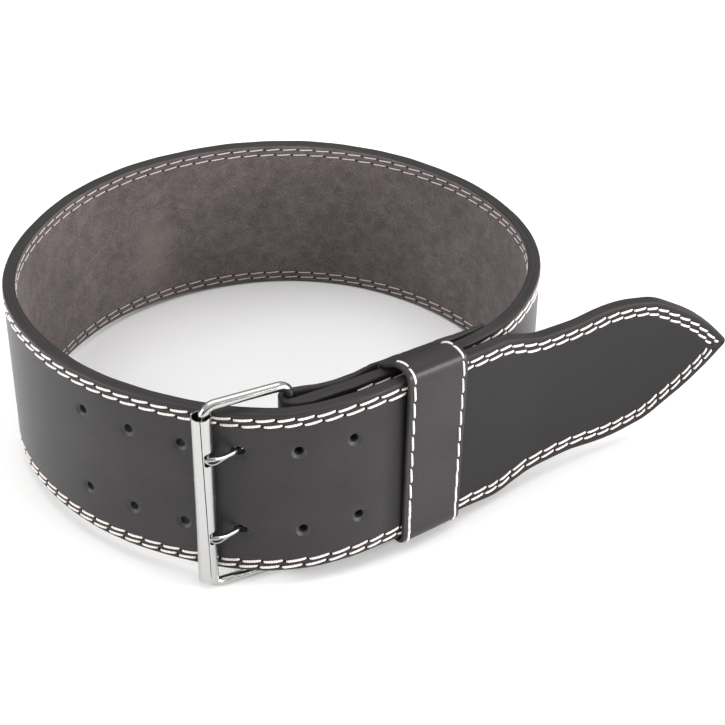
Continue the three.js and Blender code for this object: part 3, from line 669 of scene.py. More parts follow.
def strap_mesh():
    base_d, base_z, kind = edge_profile(THICK)
    n_half = len(base_d)
    n_mid, n_in = len(MID_W), len(IN_W)
    M = n_mid + n_half + n_in + n_half
    # columns: outer face from low to high, upper edge, inner face from high to low, lower edge
    S, W, OFF, ELL, DEEP, SEW = [], [], [], [], [], []
    P = []

    def add_flat(s0, half, nrm, ell, most):
        d = limit_inset(base_d, most)
        du = limit_inset(np.array([9.4]), most)[0]
        ease = np.clip(d / 2.5, 0, 1) ** 2 * np.clip((most - 6) / 3.4, 0, 1)
        hi, lo = d + more(ell, 1) * ease, d + more(ell, -1) * ease
        up_s, up_w = s0 + hi * nrm[0], half + hi * nrm[1]
        lo_s, lo_w = s0 + lo * nrm[0], half + lo * nrm[1]
        s = np.empty(M); w = np.empty(M); off = np.empty(M); deep = np.empty(M)
        du2 = max(hi[0], lo[0])
        sm, wm = s0 + du2 * nrm[0], half + du2 * nrm[1]
        a = slice(0, n_mid); s[a], w[a], off[a], deep[a] = sm, MID_W * wm, H, du
        a = slice(n_mid, n_mid + n_half); s[a], w[a], off[a], deep[a] = up_s, up_w, H - base_z, d
        a = slice(n_mid + n_half, n_mid + n_half + n_in); s[a], w[a], off[a], deep[a] = sm, -IN_W * wm, -H, du
        a = slice(M - n_half, M); s[a], w[a], off[a], deep[a] = lo_s[::-1], -lo_w[::-1], (H - base_z)[::-1], d[::-1]
        return s, w, off, deep

    rings = []
    for (u, half), nrm, ell in zip(OUT_P, OUT_N, OUT_L):
        most = 9.4 if abs(nrm[1]) < 1e-6 else min(9.4, 0.985 * half / max(abs(nrm[1]), 1e-6))
        if half < 1e-9:
            most = min(9.4, 0.985 * TIP_ROUND)
        most = max(most, 0.985 * TIP_ROUND) if u < 1.2 else most
        rings.append((*add_flat(TIP_AT + u, half, nrm, ell, most), ell))
    s_list = list(np.arange(S0 + 2, FOLD_FROM - 1.5, 2.0))
    for h in HOLE_AT:
        s_list = [s for s in s_list if abs(s - h) > 5.4]
        s_list += list(h + np.arange(-5.0, 5.1, 1.0))
    s_list = np.array(sorted(s_list))
    keep = np.concatenate([[True], np.diff(s_list) > 0.45])
    for s0 in list(s_list[keep]) + [FOLD_FROM]:
        rings.append((*add_flat(s0, MID, (0.0, -1.0), float(ell_of(s0)), 9.4), ell_of(s0)))
    s = np.array([r[0] for r in rings]); w = np.array([r[1] for r in rings])
    off = np.array([r[2] for r in rings]); deep = np.array([r[3] for r in rings])
    ell = np.array([r[4] for r in rings])[:, None] + np.zeros_like(s)
    outer = np.zeros(M, bool)
    outer[:n_mid + 14] = True
    outer[M - 14:] = True
    off = off - np.where(outer[None, :], hole_dip(s, w), 0)
    # the cut edge is a little uneven
    wave = 0.10 * np.sin(s / 9.1) + 0.07 * np.sin(s / 3.7 + 1.3) + 0.06 * np.sin(s / 23.0 + 0.6)
    w = w + np.sign(w) * wave * np.clip(1 - deep / 3.0, 0, 1) * (half_of(s) > 20)
    P1 = strap_point(s, w, off)
    uv_s, uv_w = s.copy(), w.copy()
    sew1 = np.where(s[:, :1] < SEWN_TO, 1.0, 0.0) + np.zeros_like(s)

    # the fold round the heel bar and the flap behind it
    pre = np.array([852.0, 856.0, 860.0])
    out_xy = np.vstack([strap_point(pre, 0, H)[:, :2], at_fold(FOLD[:, 0], FOLD[:, 1]), strap_point(FLAP[:, 0], 0, -FLAP[:, 2])[:, :2]])
    in_xy = np.vstack([strap_point(pre, 0, -H)[:, :2], at_fold(FOLD[:, 2], FOLD[:, 3]), strap_point(FLAP[:, 0], 0, -FLAP[:, 1])[:, :2]])
    both = np.hstack([out_xy, in_xy])
    seg = np.linalg.norm(np.diff(both, axis=0), axis=1) / math.sqrt(2)
    counts = np.maximum(1, np.round(seg / np.where(np.arange(len(seg)) < 16, 1.25, 2.4)).astype(int))
    counts[:2] = 1
    curve = catmull(both, counts)
    nodes = np.concatenate([[0], np.cumsum(counts)])
    start = nodes[2]
    curve = curve[start + 1:]
    idx = np.arange(start + 1, nodes[-1] + 1)
    flap_first = nodes[3 + len(FOLD)]
    at = np.interp(idx, nodes[3 + len(FOLD):], FLAP[:, 0])
    is_flap = idx >= flap_first
    Ps, UVS, UVW, E2, D2, SW2 = [], [], [], [], [], []
    run = ell_of(FOLD_FROM)
    last = both[2]
    for k, row in enumerate(curve):
        run += np.linalg.norm(row - last) / math.sqrt(2); last = row
        o, i = row[:2], row[2:]
        T = np.linalg.norm(o - i)
        d, z, _ = edge_profile(T)
        if not is_flap[k]:
            z = z - np.where(z < T / 2, 1, -1) * sink(d) * 0.9 * min(1, T / 7) * (np.arange(len(d)) < 14)
        up = MID - d
        ww = np.concatenate([MID_W * (MID - 9.4), up, -IN_W * (MID - 9.4), -up[::-1]])
        zz = np.concatenate([np.zeros(n_mid), z, np.full(n_in, T), z[::-1]])
        dd = np.concatenate([np.full(n_mid, 9.4), d, np.full(n_in, 9.4), d[::-1]])
        f = zz / max(T, 1e-6)
        xy = o + (i - o) * f[:, None]
        fray = 0.16 * np.sin(k * 2.1 + 3 * np.sin(k * 0.7)) + 0.12 * np.sin(k * 5.3)
        Ps.append(np.column_stack([xy, MID + ww + np.sign(ww) * fray * np.clip(1 - dd / 2.0, 0, 1) * (1.0 if is_flap[k] else 0.3)]))
        e = ell_of(at[k]) if is_flap[k] else run
        UVS.append(np.full(M, e - ELL0 + S0)); UVW.append(ww); E2.append(np.full(M, e)); D2.append(dd)
        SW2.append(np.full(M, 1.0 if is_flap[k] and at[k] < SEWN_TO - 2 else 0.0))
    P = np.vstack([P1, np.array(Ps)])
    uv_s = np.vstack([uv_s, UVS]); uv_w = np.vstack([uv_w, UVW])
    ell = np.vstack([ell, E2]); deep = np.vstack([deep, D2]); sew = np.vstack([sew1, SW2])
    R = len(P)

    kinds = np.concatenate([np.zeros(n_mid), kind, np.full(n_in, 2), kind[::-1]]).astype(int)
    offs = np.concatenate([np.full(n_mid, H), H - base_z, np.full(n_in, -H), (H - base_z)[::-1]])

    def wrap(a):
        return np.hstack([a, a[:, :1]])
    # a face takes the kind of its two columns, an edge face wins
    nxt = np.roll(kinds, -1)
    face_kind = np.where((kinds == 1) | (nxt == 1), 1, kinds)
    face_kind = np.where((kinds != nxt) & (kinds != 1) & (nxt != 1), 1, face_kind)
    face_kind[-1] = 0
    quads = grid_faces(R, M)
    mat = np.tile(face_kind, R - 1)
    ring_s = np.concatenate([s[:, 0], np.full(R - len(s), 900.0)])[:-1]
    mat = np.where((mat == 2) & np.repeat(ring_s > 842, M), 3, mat)      # raw inside the pocket of the fold
    v_face = np.where(face_kind[None, :] == 1, 1, 0)
    u = wrap(uv_s) * 0.001
    v = wrap(uv_w) * 0.001
    uv_face = grid_uv(u, v)
    off_grid = wrap(np.tile(offs, (R, 1))) * 0.001
    uv_edge = grid_uv(u, off_grid)
    uv_face = np.where((mat == 1)[:, None, None], uv_edge, uv_face)
    uv_along = grid_uv(wrap(warp(ell)) * 0.001, wrap(deep) * 0.001)
    low = np.zeros_like(sew)
    low[:, :n_mid // 2] = 1
    low[:, n_mid + n_half + n_in // 2:] = 1
    uv_sew = grid_uv(wrap(sew), np.hstack([low, low[:, :1]]))
    # end of the flap, closed by a fan of triangles round its middle point
    e = (R - 1) * M
    top = [e + k for k in range(n_mid)] + [e + n_mid + k for k in range(n_half)]
    cap = np.arange(e, e + M)
    centre = len(P.reshape(-1, 3))
    verts = np.vstack([P.reshape(-1, 3), P[-1].mean(0)[None]])
    fan = np.stack([np.roll(cap, -1), cap, np.full(M, centre)], -1)
    zero = np.zeros((M, 3, 2))
    fan_uv = np.stack([np.stack([np.full(M, uv_s[-1, 0]), P[-1][:, 2]], -1)] * 3, 1) * 0.001
    ob = make("strap_leather", verts, [quads, fan], [GRAIN, EDGE, SUEDE, RAW], [mat, np.full(M, 1)],
              {"face": [uv_face, fan_uv], "along": [uv_along, zero], "sew": [uv_sew, zero]})
    weld(ob)
    return ob


def half_of(s):
    return np.where(np.asarray(s) < S0, half_width(np.clip(np.asarray(s) - TIP_AT, 0, 200)), MID)


def lathe_cutter(centre, axis, u_axis, v_axis, profile, n=40, stretch=1.0):
    """closed cutter from a (distance along axis, radius) profile that starts and ends at radius 0"""
    a = np.linspace(0, 2 * math.pi, n, endpoint=False)
    rings = []
    for t, r in profile[1:-1]:
        rings.append(centre + axis * t + (np.cos(a)[:, None] * u_axis * stretch + np.sin(a)[:, None] * v_axis) * r)
    P = np.array(rings)
    R = len(P)
    verts = np.vstack([P.reshape(-1, 3), centre + axis * profile[0][0], centre + axis * profile[-1][0]])
    quads = grid_faces(R, n)
    first = np.arange(n); last = (R - 1) * n + np.arange(n)
    tris = np.vstack([np.stack([np.roll(first, -1), first, np.full(n, R * n)], -1),
                      np.stack([last, np.roll(last, -1), np.full(n, R * n + 1)], -1)])
    return verts, quads, tris


def joined(name, pieces, mats, index=0):
    """one mesh from (verts, quads, tris) pieces"""
    V, Q, T, n = [], [], [], 0
    for v, q, t in pieces:
        V.append(v); Q.append(np.asarray(q).reshape(-1, 4) + n); T.append(np.asarray(t).reshape(-1, 3) + n); n += len(v)
    Q, T = np.vstack(Q), np.vstack(T)
    faces, idx = [], []
    if len(Q):
        faces.append(Q); idx.append(np.full(len(Q), index))
    if len(T):
        faces.append(T); idx.append(np.full(len(T), index))
    return weld(make(name, np.vstack(V), faces, mats, idx), 1e-7)


def rounded_box(centre, ax, ay, az, sx, sy, sz, r, n=5):
    """box whose four corners across ax and az are rounded, extruded along ay"""
    pts = []
    for cx, cz, a0 in ((1, 1, 0), (-1, 1, 90), (-1, -1, 180), (1, -1, 270)):
        for k in range(n + 1):
            a = rad(a0 + 90 * k / n)
            pts.append(((sx / 2 - r) * cx + math.cos(a) * r, (sz / 2 - r) * cz + math.sin(a) * r))
    pts = np.array(pts)
    lo = centre + pts[:, :1] * ax + pts[:, 1:] * az - ay * sy / 2
    hi = lo + ay * sy
    m = len(pts)
    verts = np.vstack([lo, hi, lo.mean(0)[None], hi.mean(0)[None]])
    a, b = np.arange(m), (np.arange(m) + 1) % m
    quads = np.stack([a, b, b + m, a + m], -1)
    tris = np.vstack([np.stack([b, a, np.full(m, 2 * m)], -1), np.stack([a + m, b + m, np.full(m, 2 * m + 1)], -1)])
    return verts, quads, tris


def punch(strap):
    cutters = []
    z_axis = np.array([0, 0, 1.0])
    for z in HOLE_ROWS:
        for i, s in enumerate(HOLE_AT):
            big = i == PRONG_HOLE
            s = s + (1.1 if big else 0)             # drawn towards the roller
            c = strap_point(s, z - MID, 0)
            x, y, nx, ny = station(s)
            n = np.array([nx, ny, 0.0]); tan = np.array([-ny, nx, 0.0])
            r, rim, st = (2.3, 3.9, 1.5) if big else (2.3, 3.85, 1.0)
            top = H - hole_dip(s, z - MID)
            prof = [(H + 1.5, 0), (H + 1.5, rim + 1.2), (top + 0.12, rim + 0.22), (top - 0.12, rim - 0.12), (top - 0.45, rim - 0.45),
                    (top - 0.95, r + 0.22), (top - 1.7, r), (-H + 0.4, r), (-H - 0.4, r + 0.25), (-H - 1.5, r + 0.25), (-H - 1.5, 0)]
            cutters.append(lathe_cutter(c, n, tan, z_axis, prof, 36, st))
        box = rounded_box(np.array([*at_fold((SLOT["t0"] + SLOT["t1"]) / 2, 0), z + 0.2]), np.array([*FT, 0]),
                          np.array([*FQ, 0]), z_axis, SLOT["t1"] - SLOT["t0"], SLOT["q"] * 2, 4.6, 1.2)
        cutters.append(box)
    cutter = joined("punches", cutters, [GRAIN, EDGE, SUEDE, RAW], 3)
    subtract(strap, cutter)
    return sharpen(strap, 38)


# --------------------------------------------------------------- stitches
def thread_mesh(name, P, N, radius, mat, sides=10, twist=6.0, end_dip=1.0, flat=1.0):
    """one tube for each row of centre points P (n, k, 3) with surface normals N; ends go down into the leather"""
    n, k = P.shape[:2]
    T = unit(np.gradient(P, axis=1))
    B = unit(np.cross(T, N))
    U = np.cross(B, T)
    t = np.linspace(0, 1, k)
    taper = 1 - 0.42 * np.abs(2 * t - 1) ** 5
    th = np.arange(sides) / sides * 2 * math.pi
    length = np.concatenate([np.zeros((n, 1)), np.cumsum(np.linalg.norm(np.diff(P, axis=1), axis=-1), axis=1)], 1)
    ang = th[None, None, :] + 0 * length[..., None]
    lobes = 1 + 0.07 * np.cos(2 * (ang - length[..., None] / twist * 2 * math.pi))
    r = radius * taper[None, :, None] * lobes
    V = (P[:, :, None] + B[:, :, None] * (np.cos(ang) * r)[..., None] + U[:, :, None] * (np.sin(ang) * r * flat)[..., None])
    tips = np.stack([P[:, 0] - T[:, 0] * radius * 0.35, P[:, -1] + T[:, -1] * radius * 0.35], 1)
    verts = np.concatenate([V.reshape(n, k * sides, 3), tips], 1)
    per = k * sides + 2
    q = grid_faces(k, sides)
    j = np.arange(sides); j2 = (j + 1) % sides
    tri = np.vstack([np.stack([j2, j, np.full(sides, k * sides)], -1),
                     np.stack([(k - 1) * sides + j, (k - 1) * sides + j2, np.full(sides, k * sides + 1)], -1)])
    base = (np.arange(n) * per)[:, None, None]
    quads = (q[None] + base).reshape(-1, 4)
    tris = (tri[None] + base).reshape(-1, 3)
    ring = np.arange(sides + 1) / sides
    uvq = []
    u = np.repeat(length[:, :, None], sides + 1, 2) + (np.arange(n) * 3.7)[:, None, None]
    v = np.broadcast_to(ring[None, None], u.shape)
    uv = np.stack([u * 0.001, v], -1)
    uvq = np.stack([uv[:, :-1, :-1], uv[:, :-1, 1:], uv[:, 1:, 1:], uv[:, 1:, :-1]], -2).reshape(-1, 4, 2)
    uvt = np.zeros((len(tris), 3, 2))
    ob = make(name, verts.reshape(-1, 3), [quads, tris], [mat], None, {"twist": [uvq, uvt]})
    return outward(ob)


def row_start(d):
    """place along the edge where an inset row leaves the middle of the tip"""
    w = OUT_P[:, 1] + d * OUT_N[:, 1]
    i = np.nonzero(w > 0.05)[0][0]
    return OUT_L[i]


def row_surface(ell, d, side, face):
    """centre point and normal on the stitched surface; side +1 upper edge, -1 lower; face +1 outer, -1 inner"""
    ell = np.asarray(ell, float)
    s = ell - ELL0 + S0
    tail = ell < ELL0
    u = np.interp(ell, OUT_L, OUT_P[:, 0]); hw = np.interp(ell, OUT_L, OUT_P[:, 1])
    nu = np.interp(ell, OUT_L, OUT_N[:, 0]); nw = np.interp(ell, OUT_L, OUT_N[:, 1])
    ss = np.where(tail, TIP_AT + u + nu * d, s)
    ww = np.where(tail, np.maximum(hw + nw * d, 0.0), MID - d) * side
    off = np.full(ell.shape, H * face)
    if face < 0:                               # the flap covers the inner face near the buckle
        far = np.interp(ss, FLAP[::-1, 0], FLAP[::-1, 2], left=H, right=H)
        off = -np.where((ss > FLAP[-1, 0]) & (ss < FLAP[0, 0]), far, H)
    x, y, nx, ny = station(ss)
    nrm = np.stack([nx, ny, np.zeros_like(nx)], -1) * face
    return ss, ww, off, nrm


def stitch_rows(face, k, jitter_seed):
    rng = np.random.default_rng(jitter_seed)
    Ps, Ns = [], []
    end = ell_of(SEWN_TO - 3)
    for side in (1, -1):
        for d, ph in zip(ROWS, PHASE if side > 0 else PHASE_LOW):
            first = row_start(d + float(more(5.0, side))) + 0.6
            m0 = math.ceil((float(warp(first)) - ph) / PITCH)
            knots = unwarp(ph + PITCH * np.arange(m0, int((float(warp(end)) - ph) / PITCH) + 1))
            a, b = knots[:-1], knots[1:]
            if knots[0] - first > 3.0:          # a short stitch into the point of the tail
                a = np.concatenate([[first], a]); b = np.concatenate([[knots[0]], b])
            if face < 0:                        # hidden behind the flap's step or the keeper
                sa = a - ELL0 + S0
                okay = (sa > FLAP[-1, 0] + 6) | (sa < FLAP[-1, 0] - 14)
                a, b = a[okay], b[okay]
            t = np.linspace(0, 1, k)
            jit = rng.uniform(-1, 1, (len(a), 4))
            ease = 0.42 + 0.16 * jit[:, :1]
            e = a[:, None] + ease + (b - a)[:, None] * t[None] - (ease + 0.42 + 0.14 * jit[:, 1:2]) * t[None]
            slant = (0.50 if face > 0 else 0.30) + 0.08 * jit[:, 2:3]
            # seen from outside, the end nearer the tail's tip sits a little higher and the thread sags between
            sag = (0.30 if face > 0 else 0.08) * np.sin(math.pi * t)[None] ** 0.8
            up_w = slant * (1 - 2 * t)[None] * (1 if face > 0 else -1) + 0.08 * jit[:, 3:4] - sag
            ss, ww, off, nrm = row_surface(e, d + more(e, side) - up_w * side, side, face)
            r = 0.70 if face > 0 else 0.42
            up = r * 0.40 - (r * 2.0) * np.abs(2 * t - 1) ** 14 - (sink(d) * (0.85 if face > 0 else 0.6))
            P = strap_point(ss, ww, off + face * up[None])
            Ps.append(P); Ns.append(nrm)
    return np.concatenate(Ps), np.concatenate(Ns)


def strap_stitches():
    P, N = stitch_rows(1, 15, 5)
    outer = thread_mesh("outer_stitches", P, N, 0.70, THREAD, sides=10, twist=5.2, flat=0.80)
    P, N = stitch_rows(-1, 9, 8)
    inner = thread_mesh("inner_stitches", P, N, 0.40, THREAD_IN, sides=8, twist=4.0, flat=0.85)
    return outer, inner


# ----------------------------------------------------------------- keeper
def keeper_row(x):
    """table row at a place x (0..1) across the keeper"""
    t = np.linspace(0, 1, len(KEEPER))
    return np.array([np.interp(x, t, KEEPER[:, k]) for k in range(4)])


def keeper_path(x, grow):
    """closed path round the loop, front face first, grow outwards from its inner face"""
    tail, belt, top, bottom = keeper_row(x)
    f, b = strap_point(tail, 0, H)[:2], strap_point(belt, 0, -H)[:2]
    depth = np.linalg.norm(f - b)
    P = np.array([((depth if db else 0) + d, z + (top if zb == 1 else bottom if zb == -1 else 0)) for db, d, zb, z in KEEPER_LOOP])
    n = len(P)
    seg = np.linalg.norm(np.roll(P, -1, 0) - P, axis=1)
    C = catmull(np.vstack([P[-3:], P, P[:3]]), KEEPER_COUNTS[[-3, -2, -1] + list(range(n)) + [0, 1]])
    start = int(KEEPER_COUNTS[-3:].sum())
    C = C[start:start + int(KEEPER_COUNTS.sum())]
    T = unit(np.roll(C, -1, 0) - np.roll(C, 1, 0))
    N = np.column_stack([-T[:, 1], T[:, 0]])      # out of the loop
    C = C - N * (KEEPER_THICK - grow)
    xy = f + (b - f) * (C[:, :1] / depth)
    return np.column_stack([xy, C[:, 1]])


def keeper_counts():
    P = np.array([((19.5 if db else 0) + d, z + (102.3 if zb == 1 else 1.3 if zb == -1 else 0)) for db, d, zb, z in KEEPER_LOOP])
    seg = np.linalg.norm(np.roll(P, -1, 0) - P, axis=1)
    return np.maximum(2, np.round(seg / 1.6)).astype(int)


KEEPER_COUNTS = keeper_counts()


def keeper_mesh():
    T, r, L = KEEPER_THICK, 0.75, 38.0
    sec = []                                  # (across, grow) round the band's section
    across = np.array([0.75, 1.9, 2.7, 3.2, 3.7, 4.6, 7, 11, 15, 19, 23, 27, 31, 33.4, 34.3, 34.8, 35.3, 36.1, 37.25])
    dip = 0.13 * (np.exp(-((across - 3.2) / 0.5) ** 2) + np.exp(-((across - 34.8) / 0.5) ** 2))
    for a, g in zip(across, dip):
        sec.append((a, T - g, 0))
    for k in range(1, 6):
        a = rad(90 - 18 * k); sec.append((L - r + math.cos(a) * r, T - r + math.sin(a) * r, 1))
    for k in range(0, 5):
        a = rad(-18 * k); sec.append((L - r + math.cos(a) * r, r + math.sin(a) * r, 1))
    for a in (37.25, 30, 19, 8, 0.75):
        sec.append((a, 0, 2))
    for k in range(1, 6):
        a = rad(270 - 18 * k); sec.append((r + math.cos(a) * r, r + math.sin(a) * r, 1))
    for k in range(0, 5):
        a = rad(180 - 18 * k); sec.append((r + math.cos(a) * r, T - r + math.sin(a) * r, 1))
    sec = np.array(sec)
    cols = [keeper_path(a / L, g) for a, g, _ in sec]
    P = np.stack(cols, 1)                     # (path, section, 3)
    R, M = P.shape[:2]
    kinds = sec[:, 2].astype(int)
    nxt = np.roll(kinds, -1)
    face_kind = np.where((kinds == 1) | (nxt == 1), 1, kinds)
    quads = grid_faces(R, M, close_rows=True)
    run = np.concatenate([[0], np.cumsum(np.linalg.norm(np.diff(np.vstack([P[:, 9], P[:1, 9]]), axis=0), axis=1))])
    u = np.repeat(run[:, None], M + 1, 1) * 0.001
    v = np.append(sec[:, 0], sec[0, 0])[None].repeat(R + 1, 0) * 0.001
    g = np.append(sec[:, 1], sec[0, 1])[None].repeat(R + 1, 0) * 0.001
    mat = np.tile(face_kind, R)
    uv = np.where((mat == 1)[:, None, None], grid_uv(u, g), grid_uv(u, v))
    ob = make("keeper_leather", P.reshape(-1, 3), [quads], [KEEPER_GRAIN, EDGE, SUEDE], [mat], {"face": [uv]})
    outward(ob)
    # stitches along both edges, where the loop can be seen
    path = np.stack([keeper_path(a / L, T - 0.10) for a in (3.2, 34.8)], 0)
    Ps, Ns = [], []
    rng = np.random.default_rng(3)
    pitch = 10.4
    for row, a in enumerate((3.2, 34.8)):
        C = np.vstack([path[row], path[row][:1]])
        inner = keeper_path(a / L, 0.0)
        Nn = unit(path[row] - np.vstack([inner])); Nn = np.vstack([Nn, Nn[:1]])
        acc = np.concatenate([[0], np.cumsum(np.linalg.norm(np.diff(C, axis=0), axis=1))])
        c0 = np.concatenate([[0], np.cumsum(KEEPER_COUNTS)])
        back0, back1 = acc[c0[14]], acc[c0[23]]
        total = acc[-1]
        start = 2.6 if row == 0 else 5.0
        m = int((total + 6) / pitch)
        a0 = start + pitch * np.arange(-2, m + 1)
        for q in a0:
            lo, hi = q + 0.35 + 0.1 * rng.uniform(-1, 1), q + pitch - 0.35 + 0.1 * rng.uniform(-1, 1)
            t = np.linspace(0, 1, 15)
            e = np.mod(lo + (hi - lo) * t, total)
            if np.any((e > back0 - 1.0) & (e < back1 + 1.0)):
                continue
            c = np.stack([np.interp(e, acc, C[:, k]) for k in range(3)], -1)
            n = unit(np.stack([np.interp(e, acc, Nn[:, k]) for k in range(3)], -1))
            tan = unit(np.gradient(c, axis=0)); b = np.cross(tan, n)
            lean = 0.34 * (1 - 2 * t)[:, None] + 0.05 * rng.uniform(-1, 1)
            up = 0.64 * 0.40 - 1.2 * np.abs(2 * t - 1) ** 12
            Ps.append(c + b * lean + n * up[:, None]); Ns.append(n)
    st = thread_mesh("keeper_stitches", np.array(Ps), np.array(Ns), 0.64, THREAD, sides=10, twist=5.2, flat=0.85)
    return ob, st


# ----------------------------------------------------------------- buckle
def sweep(name, C, radius, sides, mat, closed=True, up_hint=(0, 0, 1)):
    n = len(C)
    if closed:
        T = unit(np.roll(C, -1, 0) - np.roll(C, 1, 0))
    else:
        T = unit(np.gradient(C, axis=0))
    U = np.zeros_like(C)
    u = np.cross(up_hint, T[0]); u = u / np.linalg.norm(u) if np.linalg.norm(u) > 0.1 else np.array([1.0, 0, 0])
    for i in range(n):
        u = u - T[i] * np.dot(u, T[i]); u /= np.linalg.norm(u)
        U[i] = u
    V = np.cross(T, U)
    return T, U, V


def frame_mesh():
    d = np.array([math.cos(rad(FRAME_DEG)), math.sin(rad(FRAME_DEG))])
    o = np.array([ROLLER["x"], ROLLER["y"]]) + WIRE_SHIFT * d
    pts = []

    def add(l, z):
        pts.append((*(o + d * l), z))

    def arc(l, z, a0):
        for k in range(13):
            a = rad(a0 + 7.5 * k)
            add(l + math.cos(a) * FRAME_CORNER, z + math.sin(a) * FRAME_CORNER)
    L, c = FRAME_LONG, FRAME_CORNER
    arc(L - c, FRAME_HIGH - c, 0)
    for k in range(1, 12):
        add(L - c + (2 * c - L) * k / 12, FRAME_HIGH)
    arc(c, FRAME_HIGH - c, 90)
    for k in range(1, 16):
        add(0, FRAME_HIGH - c + (FRAME_LOW - FRAME_HIGH + 2 * c) * k / 16)
    arc(c, FRAME_LOW + c, 180)
    for k in range(1, 12):
        add(c + (L - 2 * c) * k / 12, FRAME_LOW)
    arc(L - c, FRAME_LOW + c, 270)
    for k in range(1, 16):
        add(L, FRAME_LOW + c + (FRAME_HIGH - FRAME_LOW - 2 * c) * k / 16)
    C = np.array(pts)
    T, U, V = sweep("f", C, 0, 0, None)
    sides = 28
    th = np.arange(sides) / sides * 2 * math.pi
    r = WIRE_D / 2
    P = C[:, None] + U[:, None] * (np.cos(th) * r)[None, :, None] + V[:, None] * (np.sin(th) * r)[None, :, None]
    ob = make("buckle_wire", P.reshape(-1, 3), [grid_faces(len(C), sides, close_rows=True)], [NICKEL])
    return outward(ob)


def seam_at(z):
    f = (z - ROLLER["low"]) / (ROLLER["high"] - ROLLER["low"])
    return SEAM_LOW + (SEAM_TOP - SEAM_LOW) * f


def roller_mesh():
    r, wall = ROLLER["r"], ROLLER["wall"]
    lo, hi = ROLLER["low"], ROLLER["high"]
    gap = 2.6                                  # degrees each side of the seam
    zs = np.concatenate([[lo, lo + 0.12], np.linspace(lo + 0.5, hi - 0.5, 44), [hi - 0.12, hi]])
    bev = np.zeros(len(zs)); bev[0] = bev[-1] = 0.16; bev[1] = bev[-2] = 0.04
    n = 76
    P = []
    for z, b in zip(zs, bev):
        a = np.radians(seam_at(z) + np.linspace(gap, 360 - gap, n))
        curl = np.zeros(n)
        curl[0] = curl[-1] = 0.22              # the sheet's edges dip at the seam
        curl[1] = curl[-2] = 0.05
        ro, ri = r - b - curl, r - wall + b * 0.6 - curl
        out = np.column_stack([np.cos(a) * ro, np.sin(a) * ro])
        inn = np.column_stack([np.cos(a) * ri, np.sin(a) * ri])[::-1]
        ring = np.vstack([out, inn]) + (ROLLER["x"], ROLLER["y"])
        P.append(np.column_stack([ring, np.full(2 * n, z)]))
    P = np.array(P)
    R, M = P.shape[:2]
    quads = grid_faces(R, M)
    j = np.arange(n - 1)
    cap_lo = np.stack([j, M - 1 - j, M - 2 - j, j + 1], -1)
    cap_hi = (R - 1) * M + np.stack([j + 1, M - 2 - j, M - 1 - j, j], -1)
    ob = make("roller_sheet", P.reshape(-1, 3), [quads, cap_lo, cap_hi], [NICKEL_SHEET])
    weld(ob, 1e-7)
    cutters = []
    for z in HOLE_ROWS:
        zc = z + 1.4
        a0 = seam_at(zc) + 7.0
        a1 = 66.0
        wide = rad(a1 - a0) * r
        pts = []
        rr, nn = 1.7, 6
        for cx, cz, b0 in ((1, 1, 0), (-1, 1, 90), (-1, -1, 180), (1, -1, 270)):
            for k in range(nn + 1):
                b = rad(b0 + 90 * k / nn)
                pts.append(((wide / 2 - rr) * cx + math.cos(b) * rr, (NOTCH_H / 2 - rr) * cz + math.sin(b) * rr))
        # sides subdivided so that the cutter follows the round
        poly = []
        for k, p in enumerate(pts):
            q = pts[(k + 1) % len(pts)]
            m = max(1, int(abs(q[0] - p[0]) / 0.8))
            for s in range(m):
                poly.append((p[0] + (q[0] - p[0]) * s / m, p[1] + (q[1] - p[1]) * s / m))
        poly = np.array(poly)
        ang = np.radians((a0 + a1) / 2) + poly[:, 0] / r

        def ring(rad_):
            return np.column_stack([ROLLER["x"] + np.cos(ang) * rad_, ROLLER["y"] + np.sin(ang) * rad_, zc + poly[:, 1]])
        m = len(poly)
        am = np.radians((a0 + a1) / 2)
        V = np.vstack([ring(2.6), ring(7.5), [[ROLLER["x"] + math.cos(am) * 1.2, ROLLER["y"] + math.sin(am) * 1.2, zc]],
                       [[ROLLER["x"] + math.cos(am) * 12.0, ROLLER["y"] + math.sin(am) * 12.0, zc]]])
        a, b = np.arange(m), (np.arange(m) + 1) % m
        cutters.append((V, np.stack([a, b, b + m, a + m], -1),
                        np.vstack([np.stack([b, a, np.full(m, 2 * m)], -1), np.stack([a + m, b + m, np.full(m, 2 * m + 1)], -1)])))
    cutter = joined("notches", cutters, [NICKEL_SHEET])
    subtract(ob, cutter)
    return sharpen(ob, 32)


